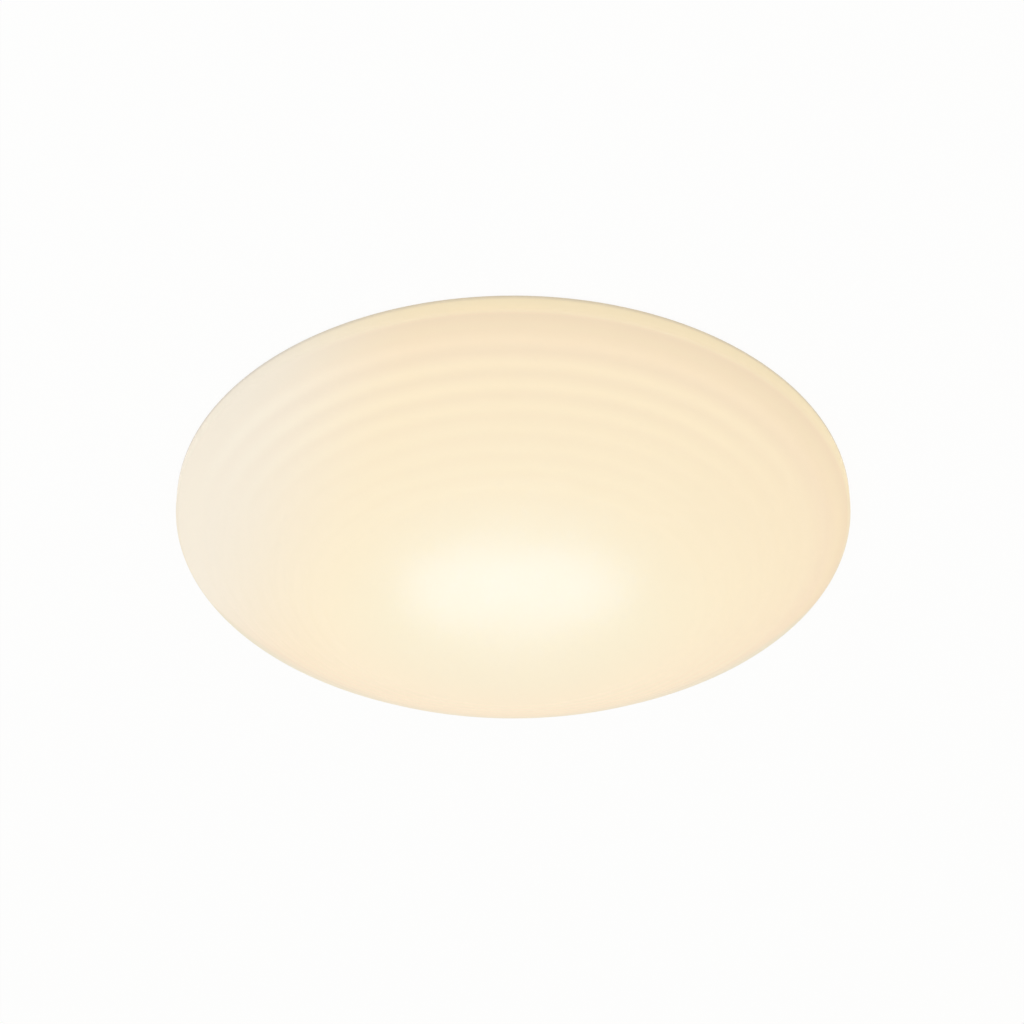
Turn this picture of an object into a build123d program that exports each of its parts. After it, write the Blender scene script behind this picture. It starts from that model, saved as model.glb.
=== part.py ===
from build123d import *
import math
import os

# Flush mount ceiling light, held up by its pan. Millimetres, real size, +Z up.
# The origin is the centre of the ceiling plane, and everything hangs below it.
# Angles are in degrees, counted from +X towards +Y.

# Dome, a moulded opal shell
DOME_RADIUS = 200.0
DOME_WALL = 2.6
CEILING_GAP = 0.8
SKIRT_HEIGHT = 9.0
SKIRT_DRAFT = 0.5
SHOULDER_WIDTH = 9.0
SKIRT_CORNER = 2.5
DOME_RISE = 67.2
DOME_POWER = 1.78
CENTRE_RADIUS = 106.0
CENTRE_DEPTH = 14.0
RIPPLE_COUNT = 8
RIPPLE_HEIGHT = 0.5

# Bayonet between dome and pan
TAB_COUNT = 4
TAB_FIRST_ANGLE = 0.0
TAB_ARC = 16.0
TAB_SHEET = 1.0
TAB_REACH = 8.0
LUG_THICKNESS = 2.0
LUG_PAST_TAB_END = 3.0
LUG_TO_WALL = 2.8
STOP_ARC = 1.4
STOP_DROP = 1.5
STOP_CLEARANCE = 0.4
LUG_CLEARANCE = 0.3

# Ceiling pan, pressed from sheet steel
PAN_TO_SKIRT = 9.9
PAN_SHEET = 1.0
PAN_DEPTH = 7.0
PAN_CORNER = 1.5
PAN_STANDOFF = 2.0
BEAD_TO_WALL = 29.0
BEAD_WIDTH = 8.0
BEAD_DEPTH = 1.5
FOOT_SPACING_X = 170.0
FOOT_SPACING_Y = 170.0
FOOT_TOP_RADIUS = 12.0
FOOT_FLARE = 2.5
SLOT_LENGTH = 14.0
SLOT_WIDTH = 5.0

# Foam and silicone rings
GASKET_TO_WALL = 13.0
GASKET_WIDTH = 10.0
SEAL_WIDTH = 4.5
SEAL_TO_LUG = 0.3

# Supply entry, clamp and terminal, in a row beside the gear tray
SUPPLY_INWARD = 5.0
ENTRY_Y = -46.0
ENTRY_HOLE_RADIUS = 10.0
GROMMET_LIP = 2.5
GROMMET_FLANGE = 1.4
GROMMET_BORE_RADIUS = 5.0
CLAMP_Y = -26.0
CLAMP_LENGTH = 34.0
CLAMP_WIDTH = 8.0
CLAMP_CORNER = 2.0
SADDLE_HEIGHT = 6.0
BAR_HEIGHT = 6.0
CABLE_RADIUS = 4.0
CLAMP_SCREW_SPREAD = 24.0
TERMINAL_Y = 8.0
TERMINAL_WIDTH = 38.0
TERMINAL_LENGTH = 30.0
TERMINAL_HEIGHT = 16.0
TERMINAL_EDGE = 1.5
TERMINAL_EAR = 8.0
TERMINAL_EAR_HEIGHT = 3.0
TERMINAL_EAR_CORNER = 2.5
POLE_PITCH = 11.5
WIRE_HOLE_RADIUS = 1.8
WIRE_HOLE_DEPTH = 9.0
WIRE_HEIGHT = 7.0
BUTTON_SIZE = 5.0
BUTTON_PROUD = 3.0
BUTTON_EDGE = 0.5
BUTTON_LENGTH = 7.0
BUTTON_TRAVEL = 1.5
BUTTON_CLEARANCE = 0.15
BUTTON_FLOOR_GAP = 0.3

# Fasteners
SMALL_SCREW_RADIUS = 1.5
SMALL_HEAD_RADIUS = 2.8
SMALL_HEAD_HEIGHT = 1.8
SCREW_HOLE_CLEARANCE = 0.1
EARTH_SCREW_RADIUS = 2.0
EARTH_HEAD_RADIUS = 3.8
EARTH_Y = 48.0
EARTH_TAG_RADIUS = 4.6
EARTH_TAG_SHEET = 0.8
EARTH_TAG_NECK = 9.0
CRIMP_RADIUS = 2.0

# Driver, a snap-together case screwed to the pan
DRIVER_LENGTH = 110.0
DRIVER_WIDTH = 42.0
DRIVER_HEIGHT = 22.0
DRIVER_WALL = 1.6
DRIVER_SPLIT = 10.0
DRIVER_EDGE = 2.0
DRIVER_EAR_LENGTH = 9.0
DRIVER_EAR_WIDTH = 14.0
DRIVER_EAR_HEIGHT = 2.0
DRIVER_CENTRE_X = -2.0
DRIVER_PORT_RADIUS = 1.6
BOARD_SHEET = 1.6
BOARD_GAP = 0.3
BOARD_RIB = 3.0
BOARD_END_GAP = 9.0
TRANSFORMER_LENGTH = 22.0
TRANSFORMER_WIDTH = 20.0
TRANSFORMER_HEIGHT = 11.0
TRANSFORMER_X = 6.0
WINDING_LENGTH = 13.0
WINDING_WIDTH = 22.0
WINDING_HEIGHT = 7.7
WINDING_EDGE = 2.2
CAPACITOR_RADIUS = 4.0
CAPACITOR_HEIGHT = 11.0
CAPACITOR_EDGE = 0.5
CAPACITOR_PITCH = 11.2

# Gear tray, a steel disc on three pillars that carries the light source
TRAY_RADIUS = 88.0
TRAY_SHEET = 1.0
TRAY_LEVEL = 32.0
TRAY_RIM = 7.0
TRAY_CORNER = 2.0
PILLAR_COUNT = 3
PILLAR_TO_RIM = 12.0
PILLAR_FIRST_ANGLE = 30.0
PILLAR_ACROSS_FLATS = 8.0
PILLAR_SPIGOT_RADIUS = 2.5
TRAY_HOLE_RADIUS = 5.0
TRAY_HOLE_TO_RIM = 9.0
TRAY_GROMMET_BORE = 3.2
TRAY_GROMMET_LIP = 1.4
TRAY_GROMMET_FLANGE = 1.0

# Light source
PAD_RADIUS = 66.0
PAD_SHEET = 0.5
LED_BOARD_RADIUS = 68.0
CHIP_RINGS = 3
CHIP_RING_STEP = 19.0
CHIPS_PER_RING_STEP = 6
CHIP_LENGTH = 3.5
CHIP_WIDTH = 2.8
CHIP_HEIGHT = 0.8
BOARD_SCREW_COUNT = 4
BOARD_SCREW_CIRCLE = 47.0
BOARD_SCREW_ANGLE = 45.0
SOCKET_TO_EDGE = 5.0
SOCKET_LENGTH = 7.0
SOCKET_WIDTH = 9.0
SOCKET_HEIGHT = 4.5
SOCKET_WALL = 1.0
PLUG_CLEARANCE = 0.1
PLUG_PROUD = 4.0

# Inner leads, run whole from terminal to terminal
LEAD_RADIUS = 1.2
LED_LEAD_RADIUS = 0.8
LED_LEAD_PITCH = 4.0
LEAD_END_GAP = 0.1
BEND_SHARE = 0.45
SUPPLY_LEAD_RUN = 5.0
SUPPLY_LEAD_FALL = 2.0
SUPPLY_LEAD_SIDESTEP = 11.0
LIVE_LOOP_WIDTH = 20.0
LIVE_LOOP_HEIGHT = 6.0
NEUTRAL_LOOP_WIDTH = 40.0
NEUTRAL_LOOP_HEIGHT = 17.0
EARTH_LEAD_RUN = 2.0
EARTH_LEAD_APPROACH = 3.0
LED_LEAD_SWING = 4.0
LED_LEAD_DROP = 6.0
LED_LEAD_EXIT = 1.0
LED_LEAD_SQUEEZE = 0.8
SUPPLY_PORT_PITCH = 5.0

# Places and levels worked out from the sizes above
INNER_WALL_RADIUS = DOME_RADIUS - SKIRT_DRAFT - DOME_WALL
PAN_RADIUS = INNER_WALL_RADIUS - PAN_TO_SKIRT
BEAD_RADIUS = PAN_RADIUS - BEAD_TO_WALL
GASKET_RADIUS = PAN_RADIUS - GASKET_TO_WALL
SUPPLY_X = (TRAY_RADIUS + BEAD_RADIUS) / 2 - SUPPLY_INWARD
TRAY_HOLE_X = TRAY_HOLE_TO_RIM - TRAY_RADIUS
PILLAR_CIRCLE = TRAY_RADIUS - PILLAR_TO_RIM
SOCKET_X = SOCKET_TO_EDGE - LED_BOARD_RADIUS
PAN_TOP = -PAN_STANDOFF
PAN_FACE = PAN_TOP - PAN_SHEET
PAN_LIP = PAN_TOP - PAN_DEPTH
TAB_TOP = PAN_LIP + TAB_SHEET
LUG_FLOOR = TAB_TOP + LUG_CLEARANCE
LUG_TOP = LUG_FLOOR + LUG_THICKNESS
RIM_TOP = -CEILING_GAP
SKIRT_END = RIM_TOP - SKIRT_HEIGHT
TRAY_TOP = -TRAY_LEVEL + TRAY_SHEET
TRAY_FACE = -TRAY_LEVEL
PAD_FACE = TRAY_FACE - PAD_SHEET
LED_FACE = PAD_FACE - BOARD_SHEET
LEAD_LEVEL = PAN_FACE - WIRE_HEIGHT


def dome_level(radius):
    """Height of the rippled band's valleys at a radius."""
    return SKIRT_END - DOME_RISE * (1 - (radius / DOME_RADIUS) ** DOME_POWER)


def ripple_arcs(outer):
    """Concentric ripples from the shoulder to the centre, each a shallow arc between two valleys."""
    pitch = (outer - CENTRE_RADIUS) / RIPPLE_COUNT
    arcs = []
    for index in range(RIPPLE_COUNT):
        start = outer - index * pitch
        crest = start - pitch / 2
        end = start - pitch
        arcs.append(
            ThreePointArc(
                (start, dome_level(start)),
                (crest, dome_level(crest) - RIPPLE_HEIGHT),
                (end, dome_level(end)),
            )
        )
    return arcs


def dome_shell():
    """Revolved shell: upright skirt, rounded shoulder, rippled band, bulged centre and smooth inside."""
    skirt_foot = (DOME_RADIUS - SKIRT_DRAFT, SKIRT_END)
    band_outer = DOME_RADIUS - SHOULDER_WIDTH
    band_middle = (band_outer + CENTRE_RADIUS) / 2
    shoulder = (band_outer, dome_level(band_outer))
    centre_level = dome_level(CENTRE_RADIUS)
    crown_level = centre_level - CENTRE_DEPTH
    crown_curve = (CENTRE_RADIUS**2 + CENTRE_DEPTH**2) / (2 * CENTRE_DEPTH)
    crown_arc = math.degrees(math.asin(CENTRE_RADIUS / crown_curve))
    outer_crown = JernArc((0, crown_level), (1, 0), crown_curve, crown_arc)
    inner_crown = JernArc((0, crown_level + DOME_WALL), (1, 0), crown_curve, crown_arc)
    inner_middle = (band_middle, dome_level(band_middle) + DOME_WALL)
    inner_shoulder = (shoulder[0], shoulder[1] + DOME_WALL)
    inner_foot = (INNER_WALL_RADIUS, SKIRT_END)
    outline = [
        Line((DOME_RADIUS, RIM_TOP), skirt_foot),
        Line(skirt_foot, shoulder),
        *ripple_arcs(band_outer),
        outer_crown,
        Line((0, crown_level), (0, crown_level + DOME_WALL)),
        inner_crown,
        ThreePointArc(inner_crown @ 1, inner_middle, inner_shoulder),
        Line(inner_shoulder, inner_foot),
        Line(inner_foot, (INNER_WALL_RADIUS, RIM_TOP)),
        Line((INNER_WALL_RADIUS, RIM_TOP), (DOME_RADIUS, RIM_TOP)),
    ]
    section = make_face(outline)
    foot_corner = section.vertices().sort_by_distance(skirt_foot)[0]
    section = fillet(foot_corner, SKIRT_CORNER)
    return revolve(Plane.XZ * section, Axis.Z)


def ring(outer, inner, low, high):
    """Flat-sided ring about the Z axis."""
    blank = Cylinder(outer, high - low, align=(Align.CENTER, Align.CENTER, Align.MIN))
    bore = Cylinder(inner, high - low, align=(Align.CENTER, Align.CENTER, Align.MIN))
    return Pos(0, 0, low) * (blank - bore)


def ring_piece(outer, inner, low, high, start, arc):
    """Part of a ring, from a start angle over an arc."""
    middle = Pos((outer + inner) / 2, 0, (low + high) / 2)
    section = middle * Rot(90, 0, 0) * Rectangle(outer - inner, high - low)
    return Rot(0, 0, start) * revolve(section, Axis.Z, arc)


def tab_angles():
    """Middle angle of each bayonet tab."""
    return [TAB_FIRST_ANGLE + 360 / TAB_COUNT * index for index in range(TAB_COUNT)]


def make_diffuser():
    """Dome with its bayonet lugs and stop walls inside the skirt."""
    dome = dome_shell()
    lug_inner = PAN_RADIUS + LUG_TO_WALL
    lug_outer = INNER_WALL_RADIUS + DOME_WALL / 2
    gap_angle = math.degrees(STOP_CLEARANCE / lug_inner)
    for angle in tab_angles():
        stop_start = angle - TAB_ARC / 2 - gap_angle - STOP_ARC
        lug_end = angle + TAB_ARC / 2 - LUG_PAST_TAB_END
        dome += ring_piece(lug_outer, lug_inner, LUG_FLOOR, LUG_TOP, stop_start, lug_end - stop_start)
        dome += ring_piece(lug_outer, lug_inner, LUG_FLOOR - STOP_DROP, LUG_TOP, stop_start, STOP_ARC)
    return dome


def foot_places():
    """Centres of the four screw feet."""
    return GridLocations(FOOT_SPACING_X, FOOT_SPACING_Y, 2, 2)


def hole(radius, x, y):
    """Round cutter through the pan's back plate."""
    return Pos(x, y, PAN_FACE - BEAD_DEPTH) * Cylinder(
        radius, PAN_STANDOFF + PAN_SHEET + BEAD_DEPTH, align=(Align.CENTER, Align.CENTER, Align.MIN)
    )


def pan_dish():
    """Pressed dish: back plate with an annular stiffening bead, rounded corner and turned-down wall."""
    bead_in = BEAD_RADIUS - BEAD_WIDTH / 2
    bead_out = BEAD_RADIUS + BEAD_WIDTH / 2
    bead_side = BEAD_DEPTH
    bead_top = PAN_TOP - BEAD_DEPTH
    centre_line = Polyline(
        (0, PAN_TOP),
        (bead_in - bead_side, PAN_TOP),
        (bead_in, bead_top),
        (bead_out, bead_top),
        (bead_out + bead_side, PAN_TOP),
        (PAN_RADIUS - PAN_CORNER, PAN_TOP),
    )
    corner = JernArc(centre_line @ 1, (1, 0), PAN_CORNER, -90)
    wall = Line(corner @ 1, (PAN_RADIUS, PAN_LIP))
    lip = Line(wall @ 1, (PAN_RADIUS - PAN_SHEET, PAN_LIP))
    inner_wall = Line(lip @ 1, (PAN_RADIUS - PAN_SHEET, PAN_FACE))
    under = Polyline(
        inner_wall @ 1,
        (bead_out + bead_side, PAN_FACE),
        (bead_out, bead_top - PAN_SHEET),
        (bead_in, bead_top - PAN_SHEET),
        (bead_in - bead_side, PAN_FACE),
        (0, PAN_FACE),
    )
    axis_edge = Line(under @ 1, centre_line @ 0)
    outline = [centre_line, corner, wall, lip, inner_wall, under, axis_edge]
    return revolve(Plane.XZ * make_face(outline), Axis.Z)


def foot_cone(top_radius, low):
    """Frustum of a pressed foot, from a level up to one foot height above it."""
    height = PAN_STANDOFF
    return Pos(0, 0, low) * Cone(
        top_radius + FOOT_FLARE, top_radius, height, align=(Align.CENTER, Align.CENTER, Align.MIN)
    )


def make_ceiling_pan():
    """Pan with pressed feet, slots, bayonet tabs and its screw and cable holes."""
    pan = pan_dish()
    for place in foot_places():
        pan += place * foot_cone(FOOT_TOP_RADIUS, PAN_TOP)
        pan -= place * foot_cone(FOOT_TOP_RADIUS - PAN_SHEET, PAN_FACE)
        slot = extrude(SlotOverall(SLOT_LENGTH, SLOT_WIDTH), amount=2 * PAN_STANDOFF)
        pan -= place * Pos(0, 0, PAN_TOP) * slot
    for angle in tab_angles():
        tab_root = PAN_RADIUS - PAN_SHEET / 2
        pan += ring_piece(PAN_RADIUS + TAB_REACH, tab_root, PAN_LIP, TAB_TOP, angle - TAB_ARC / 2, TAB_ARC)
    pan -= hole(ENTRY_HOLE_RADIUS, SUPPLY_X, ENTRY_Y)
    for x, y in clamp_screw_places() + terminal_screw_places() + driver_screw_places():
        pan -= hole(SMALL_SCREW_RADIUS + SCREW_HOLE_CLEARANCE, x, y)
    pan -= hole(EARTH_SCREW_RADIUS + SCREW_HOLE_CLEARANCE, SUPPLY_X, EARTH_Y)
    for x, y in pillar_places():
        pan -= hole(PILLAR_SPIGOT_RADIUS, x, y)
    return pan


def make_ceiling_gasket():
    """Foam ring squeezed between the pan and the ceiling."""
    return ring(GASKET_RADIUS + GASKET_WIDTH / 2, GASKET_RADIUS - GASKET_WIDTH / 2, PAN_TOP, 0)


def make_rim_seal():
    """Silicone ring on the pan's wall, with a lip above the lugs."""
    low = LUG_TOP + SEAL_TO_LUG
    return ring(PAN_RADIUS + SEAL_WIDTH, PAN_RADIUS, low, PAN_TOP - PAN_CORNER)


def grommet(hole_radius, bore_radius, lip, flange, sheet_low, sheet_high):
    """Rubber grommet: a bush through a sheet with a flange on each side."""
    outline = Polyline(
        (bore_radius, sheet_low - flange),
        (hole_radius + lip, sheet_low - flange),
        (hole_radius + lip, sheet_low),
        (hole_radius, sheet_low),
        (hole_radius, sheet_high),
        (hole_radius + lip, sheet_high),
        (hole_radius + lip, sheet_high + flange),
        (bore_radius, sheet_high + flange),
        close=True,
    )
    return revolve(Plane.XZ * make_face(outline), Axis.Z)


def make_cable_grommet():
    """Grommet of the supply cable, in the pan's cable hole."""
    body = grommet(
        ENTRY_HOLE_RADIUS, GROMMET_BORE_RADIUS, GROMMET_LIP, GROMMET_FLANGE, PAN_FACE, PAN_TOP
    )
    return Pos(SUPPLY_X, ENTRY_Y, 0) * body


def screw(shank_radius, head_radius, head_height, head_face, tip):
    """Pan-head screw, head down, from the face its head bears on up to its tip."""
    profile = Polyline((0, tip), (shank_radius, tip), (shank_radius, head_face), (head_radius, head_face))
    edge = Line((head_radius, head_face), (head_radius, head_face - head_height / 2))
    crown = Line(edge @ 1, (head_radius / 2, head_face - head_height))
    top = Line(crown @ 1, (0, head_face - head_height))
    axis_edge = Line(top @ 1, (0, tip))
    return revolve(Plane.XZ * make_face([profile, edge, crown, top, axis_edge]), Axis.Z)


def small_screws(places, head_face, tip):
    """Group of small screws, one at each place."""
    one = screw(SMALL_SCREW_RADIUS, SMALL_HEAD_RADIUS, SMALL_HEAD_HEIGHT, head_face, tip)
    return Compound([Pos(x, y, 0) * one for x, y in places])


def clamp_screw_places():
    """Screw centres of the cable clamp."""
    return [(SUPPLY_X + side * CLAMP_SCREW_SPREAD / 2, CLAMP_Y) for side in (-1, 1)]


def clamp_half(low, height):
    """One half of the clamp, with half of the cable's channel and two screw holes."""
    block = Pos(0, 0, low + height / 2) * Box(CLAMP_LENGTH, CLAMP_WIDTH, height)
    block = fillet(block.edges().filter_by(Axis.Z), CLAMP_CORNER)
    channel_level = PAN_FACE - SADDLE_HEIGHT
    block -= Pos(0, 0, channel_level) * Rot(90, 0, 0) * Cylinder(CABLE_RADIUS, CLAMP_WIDTH)
    for side in (-1, 1):
        bolt = Cylinder(SMALL_SCREW_RADIUS + SCREW_HOLE_CLEARANCE, height)
        block -= Pos(side * CLAMP_SCREW_SPREAD / 2, 0, low + height / 2) * bolt
    return Pos(SUPPLY_X, CLAMP_Y, 0) * block


def make_clamp_saddle():
    """Lower half of the strain relief, on the pan."""
    return clamp_half(PAN_FACE - SADDLE_HEIGHT, SADDLE_HEIGHT)


def make_clamp_bar():
    """Bar that two screws pull up on the cable."""
    return clamp_half(PAN_FACE - SADDLE_HEIGHT - BAR_HEIGHT, BAR_HEIGHT)


def make_clamp_screws():
    """Screws through bar and saddle into the pan."""
    return small_screws(clamp_screw_places(), PAN_FACE - SADDLE_HEIGHT - BAR_HEIGHT, PAN_TOP)


def terminal_screw_places():
    """Screw centres of the terminal's two ears."""
    reach = TERMINAL_WIDTH / 2 + TERMINAL_EAR / 2
    return [(SUPPLY_X + side * reach, TERMINAL_Y) for side in (-1, 1)]


def pole_places():
    """Centre of each pole's button, live, neutral and earth."""
    return [(SUPPLY_X + POLE_PITCH * step, TERMINAL_Y) for step in (-1, 0, 1)]


def make_terminal_block():
    """Terminal housing with a button well and two wire holes at each pole."""
    body = Box(TERMINAL_WIDTH, TERMINAL_LENGTH, TERMINAL_HEIGHT)
    body = chamfer(body.edges().group_by(Axis.Z)[0], TERMINAL_EDGE)
    body = Pos(SUPPLY_X, TERMINAL_Y, PAN_FACE - TERMINAL_HEIGHT / 2) * body
    ear_span = TERMINAL_WIDTH + 2 * TERMINAL_EAR
    ears = Box(ear_span, TERMINAL_EAR, TERMINAL_EAR_HEIGHT)
    ears = fillet(ears.edges().filter_by(Axis.Z), TERMINAL_EAR_CORNER)
    body += Pos(SUPPLY_X, TERMINAL_Y, PAN_FACE - TERMINAL_EAR_HEIGHT / 2) * ears
    for x, y in terminal_screw_places():
        bolt = Cylinder(SMALL_SCREW_RADIUS + SCREW_HOLE_CLEARANCE, TERMINAL_EAR_HEIGHT)
        body -= Pos(x, y, PAN_FACE - TERMINAL_EAR_HEIGHT / 2) * bolt
    well = BUTTON_SIZE + 2 * BUTTON_CLEARANCE
    well_depth = BUTTON_LENGTH - BUTTON_PROUD + BUTTON_TRAVEL + BUTTON_FLOOR_GAP
    for x, y in pole_places():
        body -= Pos(x, y, PAN_FACE - TERMINAL_HEIGHT + well_depth / 2) * Box(well, well, well_depth)
        for side in (-1, 1):
            end = y + side * (TERMINAL_LENGTH / 2 - WIRE_HOLE_DEPTH / 2)
            body -= Pos(x, end, LEAD_LEVEL) * Rot(90, 0, 0) * Cylinder(WIRE_HOLE_RADIUS, WIRE_HOLE_DEPTH)
    return body


def make_terminal_button(x, y):
    """Release button that stands proud of its well."""
    button = Box(BUTTON_SIZE, BUTTON_SIZE, BUTTON_LENGTH)
    button = chamfer(button.edges().group_by(Axis.Z)[0], BUTTON_EDGE)
    level = PAN_FACE - TERMINAL_HEIGHT - BUTTON_PROUD + BUTTON_LENGTH / 2
    return Pos(x, y, level) * button


def make_terminal_screws():
    """Screws through the terminal's ears."""
    return small_screws(terminal_screw_places(), PAN_FACE - TERMINAL_EAR_HEIGHT, PAN_TOP)


def make_earth_tag():
    """Ring tag under the earth screw, with a crimp barrel on its neck."""
    disc = Pos(0, 0, -EARTH_TAG_SHEET / 2) * Cylinder(EARTH_TAG_RADIUS, EARTH_TAG_SHEET)
    neck = Box(2 * CRIMP_RADIUS, EARTH_TAG_NECK, EARTH_TAG_SHEET)
    tag = disc + Pos(0, -EARTH_TAG_NECK / 2, -EARTH_TAG_SHEET / 2) * neck
    barrel_length = EARTH_TAG_NECK / 2
    barrel = Rot(90, 0, 0) * Cylinder(CRIMP_RADIUS, barrel_length)
    barrel -= Rot(90, 0, 0) * Cylinder(LEAD_RADIUS, barrel_length)
    tag += Pos(0, -EARTH_TAG_NECK - barrel_length / 2, -CRIMP_RADIUS) * barrel
    tag -= Pos(0, 0, -EARTH_TAG_SHEET / 2) * Cylinder(
        EARTH_SCREW_RADIUS + SCREW_HOLE_CLEARANCE, EARTH_TAG_SHEET
    )
    return Pos(SUPPLY_X, EARTH_Y, PAN_FACE) * tag


def make_earth_screw():
    """Screw that bonds the earth tag to the pan."""
    return Pos(SUPPLY_X, EARTH_Y, 0) * screw(
        EARTH_SCREW_RADIUS, EARTH_HEAD_RADIUS, SMALL_HEAD_HEIGHT, PAN_FACE - EARTH_TAG_SHEET, PAN_TOP
    )


def lead(name, radius, points, bends):
    """Insulated lead: straight runs joined by tangent arcs. Prints its bends and checks its volume."""
    path = FilletPolyline(*points, radius=bends)
    section = Plane(path @ 0, z_dir=path % 0) * Circle(radius)
    wire = sweep(section, path=path)
    expected = math.pi * radius**2 * path.length
    print(f"{name}: bends {bends} mm, length {path.length:.1f} mm, volume ratio {wire.volume / expected:.4f}")
    return wire


def bends_for(points):
    """Arc radius at each corner, as large as its two runs allow."""
    radii = []
    for before, corner, after in zip(points, points[1:], points[2:]):
        run_in = Vector(*corner) - Vector(*before)
        run_out = Vector(*after) - Vector(*corner)
        turn = math.radians(run_in.get_angle(run_out))
        radii.append(round(BEND_SHARE * min(run_in.length, run_out.length) / math.tan(turn / 2), 1))
    return radii


def lead_between(name, radius, points):
    """Lead along a route of points."""
    return lead(name, radius, points, bends_for(points))


def terminal_exit():
    """Y of the bottom of the terminal's inner wire holes."""
    return TERMINAL_Y + TERMINAL_LENGTH / 2 - WIRE_HOLE_DEPTH + LEAD_END_GAP


def driver_port(side, offset):
    """Bottom of a lead port in the driver's end wall."""
    end = DRIVER_CENTRE_X + side * (DRIVER_LENGTH / 2 - DRIVER_WALL + LEAD_END_GAP)
    return (end, offset, LEAD_LEVEL)


def make_supply_lead(name, pole, loop_width, loop_height, port_y):
    """Lead from a terminal pole, looped back above the tray's rim to the driver."""
    x = pole_places()[pole][0]
    out = TERMINAL_Y + TERMINAL_LENGTH / 2 + SUPPLY_LEAD_RUN
    port = driver_port(1, port_y)
    points = [
        (x, terminal_exit(), LEAD_LEVEL),
        (x, out, LEAD_LEVEL),
        (x - loop_width / 2, out + loop_height, LEAD_LEVEL),
        (x - loop_width, out - SUPPLY_LEAD_FALL, LEAD_LEVEL),
        (x - loop_width - SUPPLY_LEAD_SIDESTEP, port_y, LEAD_LEVEL),
        port,
    ]
    return lead_between(name, LEAD_RADIUS, points)


def make_live_lead():
    """Inner one of the two supply leads."""
    return make_supply_lead("live_lead", 0, LIVE_LOOP_WIDTH, LIVE_LOOP_HEIGHT, driver_port_offsets(1)[1])


def make_neutral_lead():
    """Outer one of the two supply leads."""
    port_y = driver_port_offsets(1)[0]
    return make_supply_lead("neutral_lead", 1, NEUTRAL_LOOP_WIDTH, NEUTRAL_LOOP_HEIGHT, port_y)


def make_earth_lead():
    """Lead from the earth pole to the tag's barrel."""
    x = pole_places()[2][0]
    out = TERMINAL_Y + TERMINAL_LENGTH / 2
    tag_level = PAN_FACE - CRIMP_RADIUS
    barrel_end = EARTH_Y - EARTH_TAG_NECK - EARTH_TAG_NECK / 2
    points = [
        (x, terminal_exit(), LEAD_LEVEL),
        (x, out + EARTH_LEAD_RUN, LEAD_LEVEL),
        (SUPPLY_X, barrel_end - EARTH_LEAD_APPROACH, tag_level),
        (SUPPLY_X, EARTH_Y - EARTH_TAG_NECK, tag_level),
    ]
    return lead_between("earth_lead", LEAD_RADIUS, points)


def driver_screw_places():
    """Screw centres of the driver's two ears."""
    reach = DRIVER_LENGTH / 2 + DRIVER_EAR_LENGTH / 2
    return [(DRIVER_CENTRE_X + reach, -DRIVER_WIDTH / 4), (DRIVER_CENTRE_X - reach, -DRIVER_WIDTH / 4)]


def driver_shell(low, high, floor_at_top):
    """Open box of the driver case between two levels, closed at one of them."""
    height = high - low
    shell = Box(DRIVER_LENGTH, DRIVER_WIDTH, height)
    shell = fillet(shell.edges().filter_by(Axis.Z), DRIVER_EDGE)
    shift = -DRIVER_WALL if floor_at_top else DRIVER_WALL
    room = Box(DRIVER_LENGTH - 2 * DRIVER_WALL, DRIVER_WIDTH - 2 * DRIVER_WALL, height)
    shell -= Pos(0, 0, shift) * room
    return Pos(DRIVER_CENTRE_X, 0, (low + high) / 2) * shell


def make_driver_base():
    """Base of the driver case: floor on the pan, low walls, board ribs, lead ports and two ears."""
    base = driver_shell(PAN_FACE - DRIVER_SPLIT, PAN_FACE, True)
    for x, y in driver_screw_places():
        ear = Box(DRIVER_EAR_LENGTH, DRIVER_EAR_WIDTH, DRIVER_EAR_HEIGHT)
        ear = Pos(x, y, PAN_FACE - DRIVER_EAR_HEIGHT / 2) * ear
        base += ear
        bolt = Cylinder(SMALL_SCREW_RADIUS + SCREW_HOLE_CLEARANCE, DRIVER_EAR_HEIGHT)
        base -= Pos(x, y, PAN_FACE - DRIVER_EAR_HEIGHT / 2) * bolt
    rib = Box(BOARD_RIB, DRIVER_WIDTH - 2 * DRIVER_WALL, BOARD_RIB)
    for side in (-1, 1):
        x = DRIVER_CENTRE_X + side * (DRIVER_LENGTH / 4)
        base += Pos(x, 0, PAN_FACE - DRIVER_WALL - BOARD_RIB / 2) * rib
        for offset in driver_port_offsets(side):
            port = Rot(0, 90, 0) * Cylinder(DRIVER_PORT_RADIUS, 2 * DRIVER_WALL)
            base -= Pos(DRIVER_CENTRE_X + side * DRIVER_LENGTH / 2, offset, LEAD_LEVEL) * port
    return base


def driver_port_offsets(side):
    """Y of the ports at one end: supply leads at +X, lamp leads at -X."""
    if side > 0:
        return [DRIVER_WIDTH / 4, DRIVER_WIDTH / 4 - SUPPLY_PORT_PITCH]
    return [LED_LEAD_PITCH / 2, -LED_LEAD_PITCH / 2]


def make_driver_cover():
    """Cover that snaps over the driver's base."""
    return driver_shell(PAN_FACE - DRIVER_HEIGHT, PAN_FACE - DRIVER_SPLIT, False)


def board_level():
    """Face of the driver's circuit board that its parts stand on."""
    return PAN_FACE - DRIVER_WALL - BOARD_RIB - BOARD_SHEET


def make_driver_board():
    """Circuit board on the base's two ribs."""
    margin = 2 * (DRIVER_WALL + BOARD_GAP)
    board = Box(DRIVER_LENGTH - margin - 2 * BOARD_END_GAP, DRIVER_WIDTH - margin, BOARD_SHEET)
    return Pos(DRIVER_CENTRE_X, 0, board_level() + BOARD_SHEET / 2) * board


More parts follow.
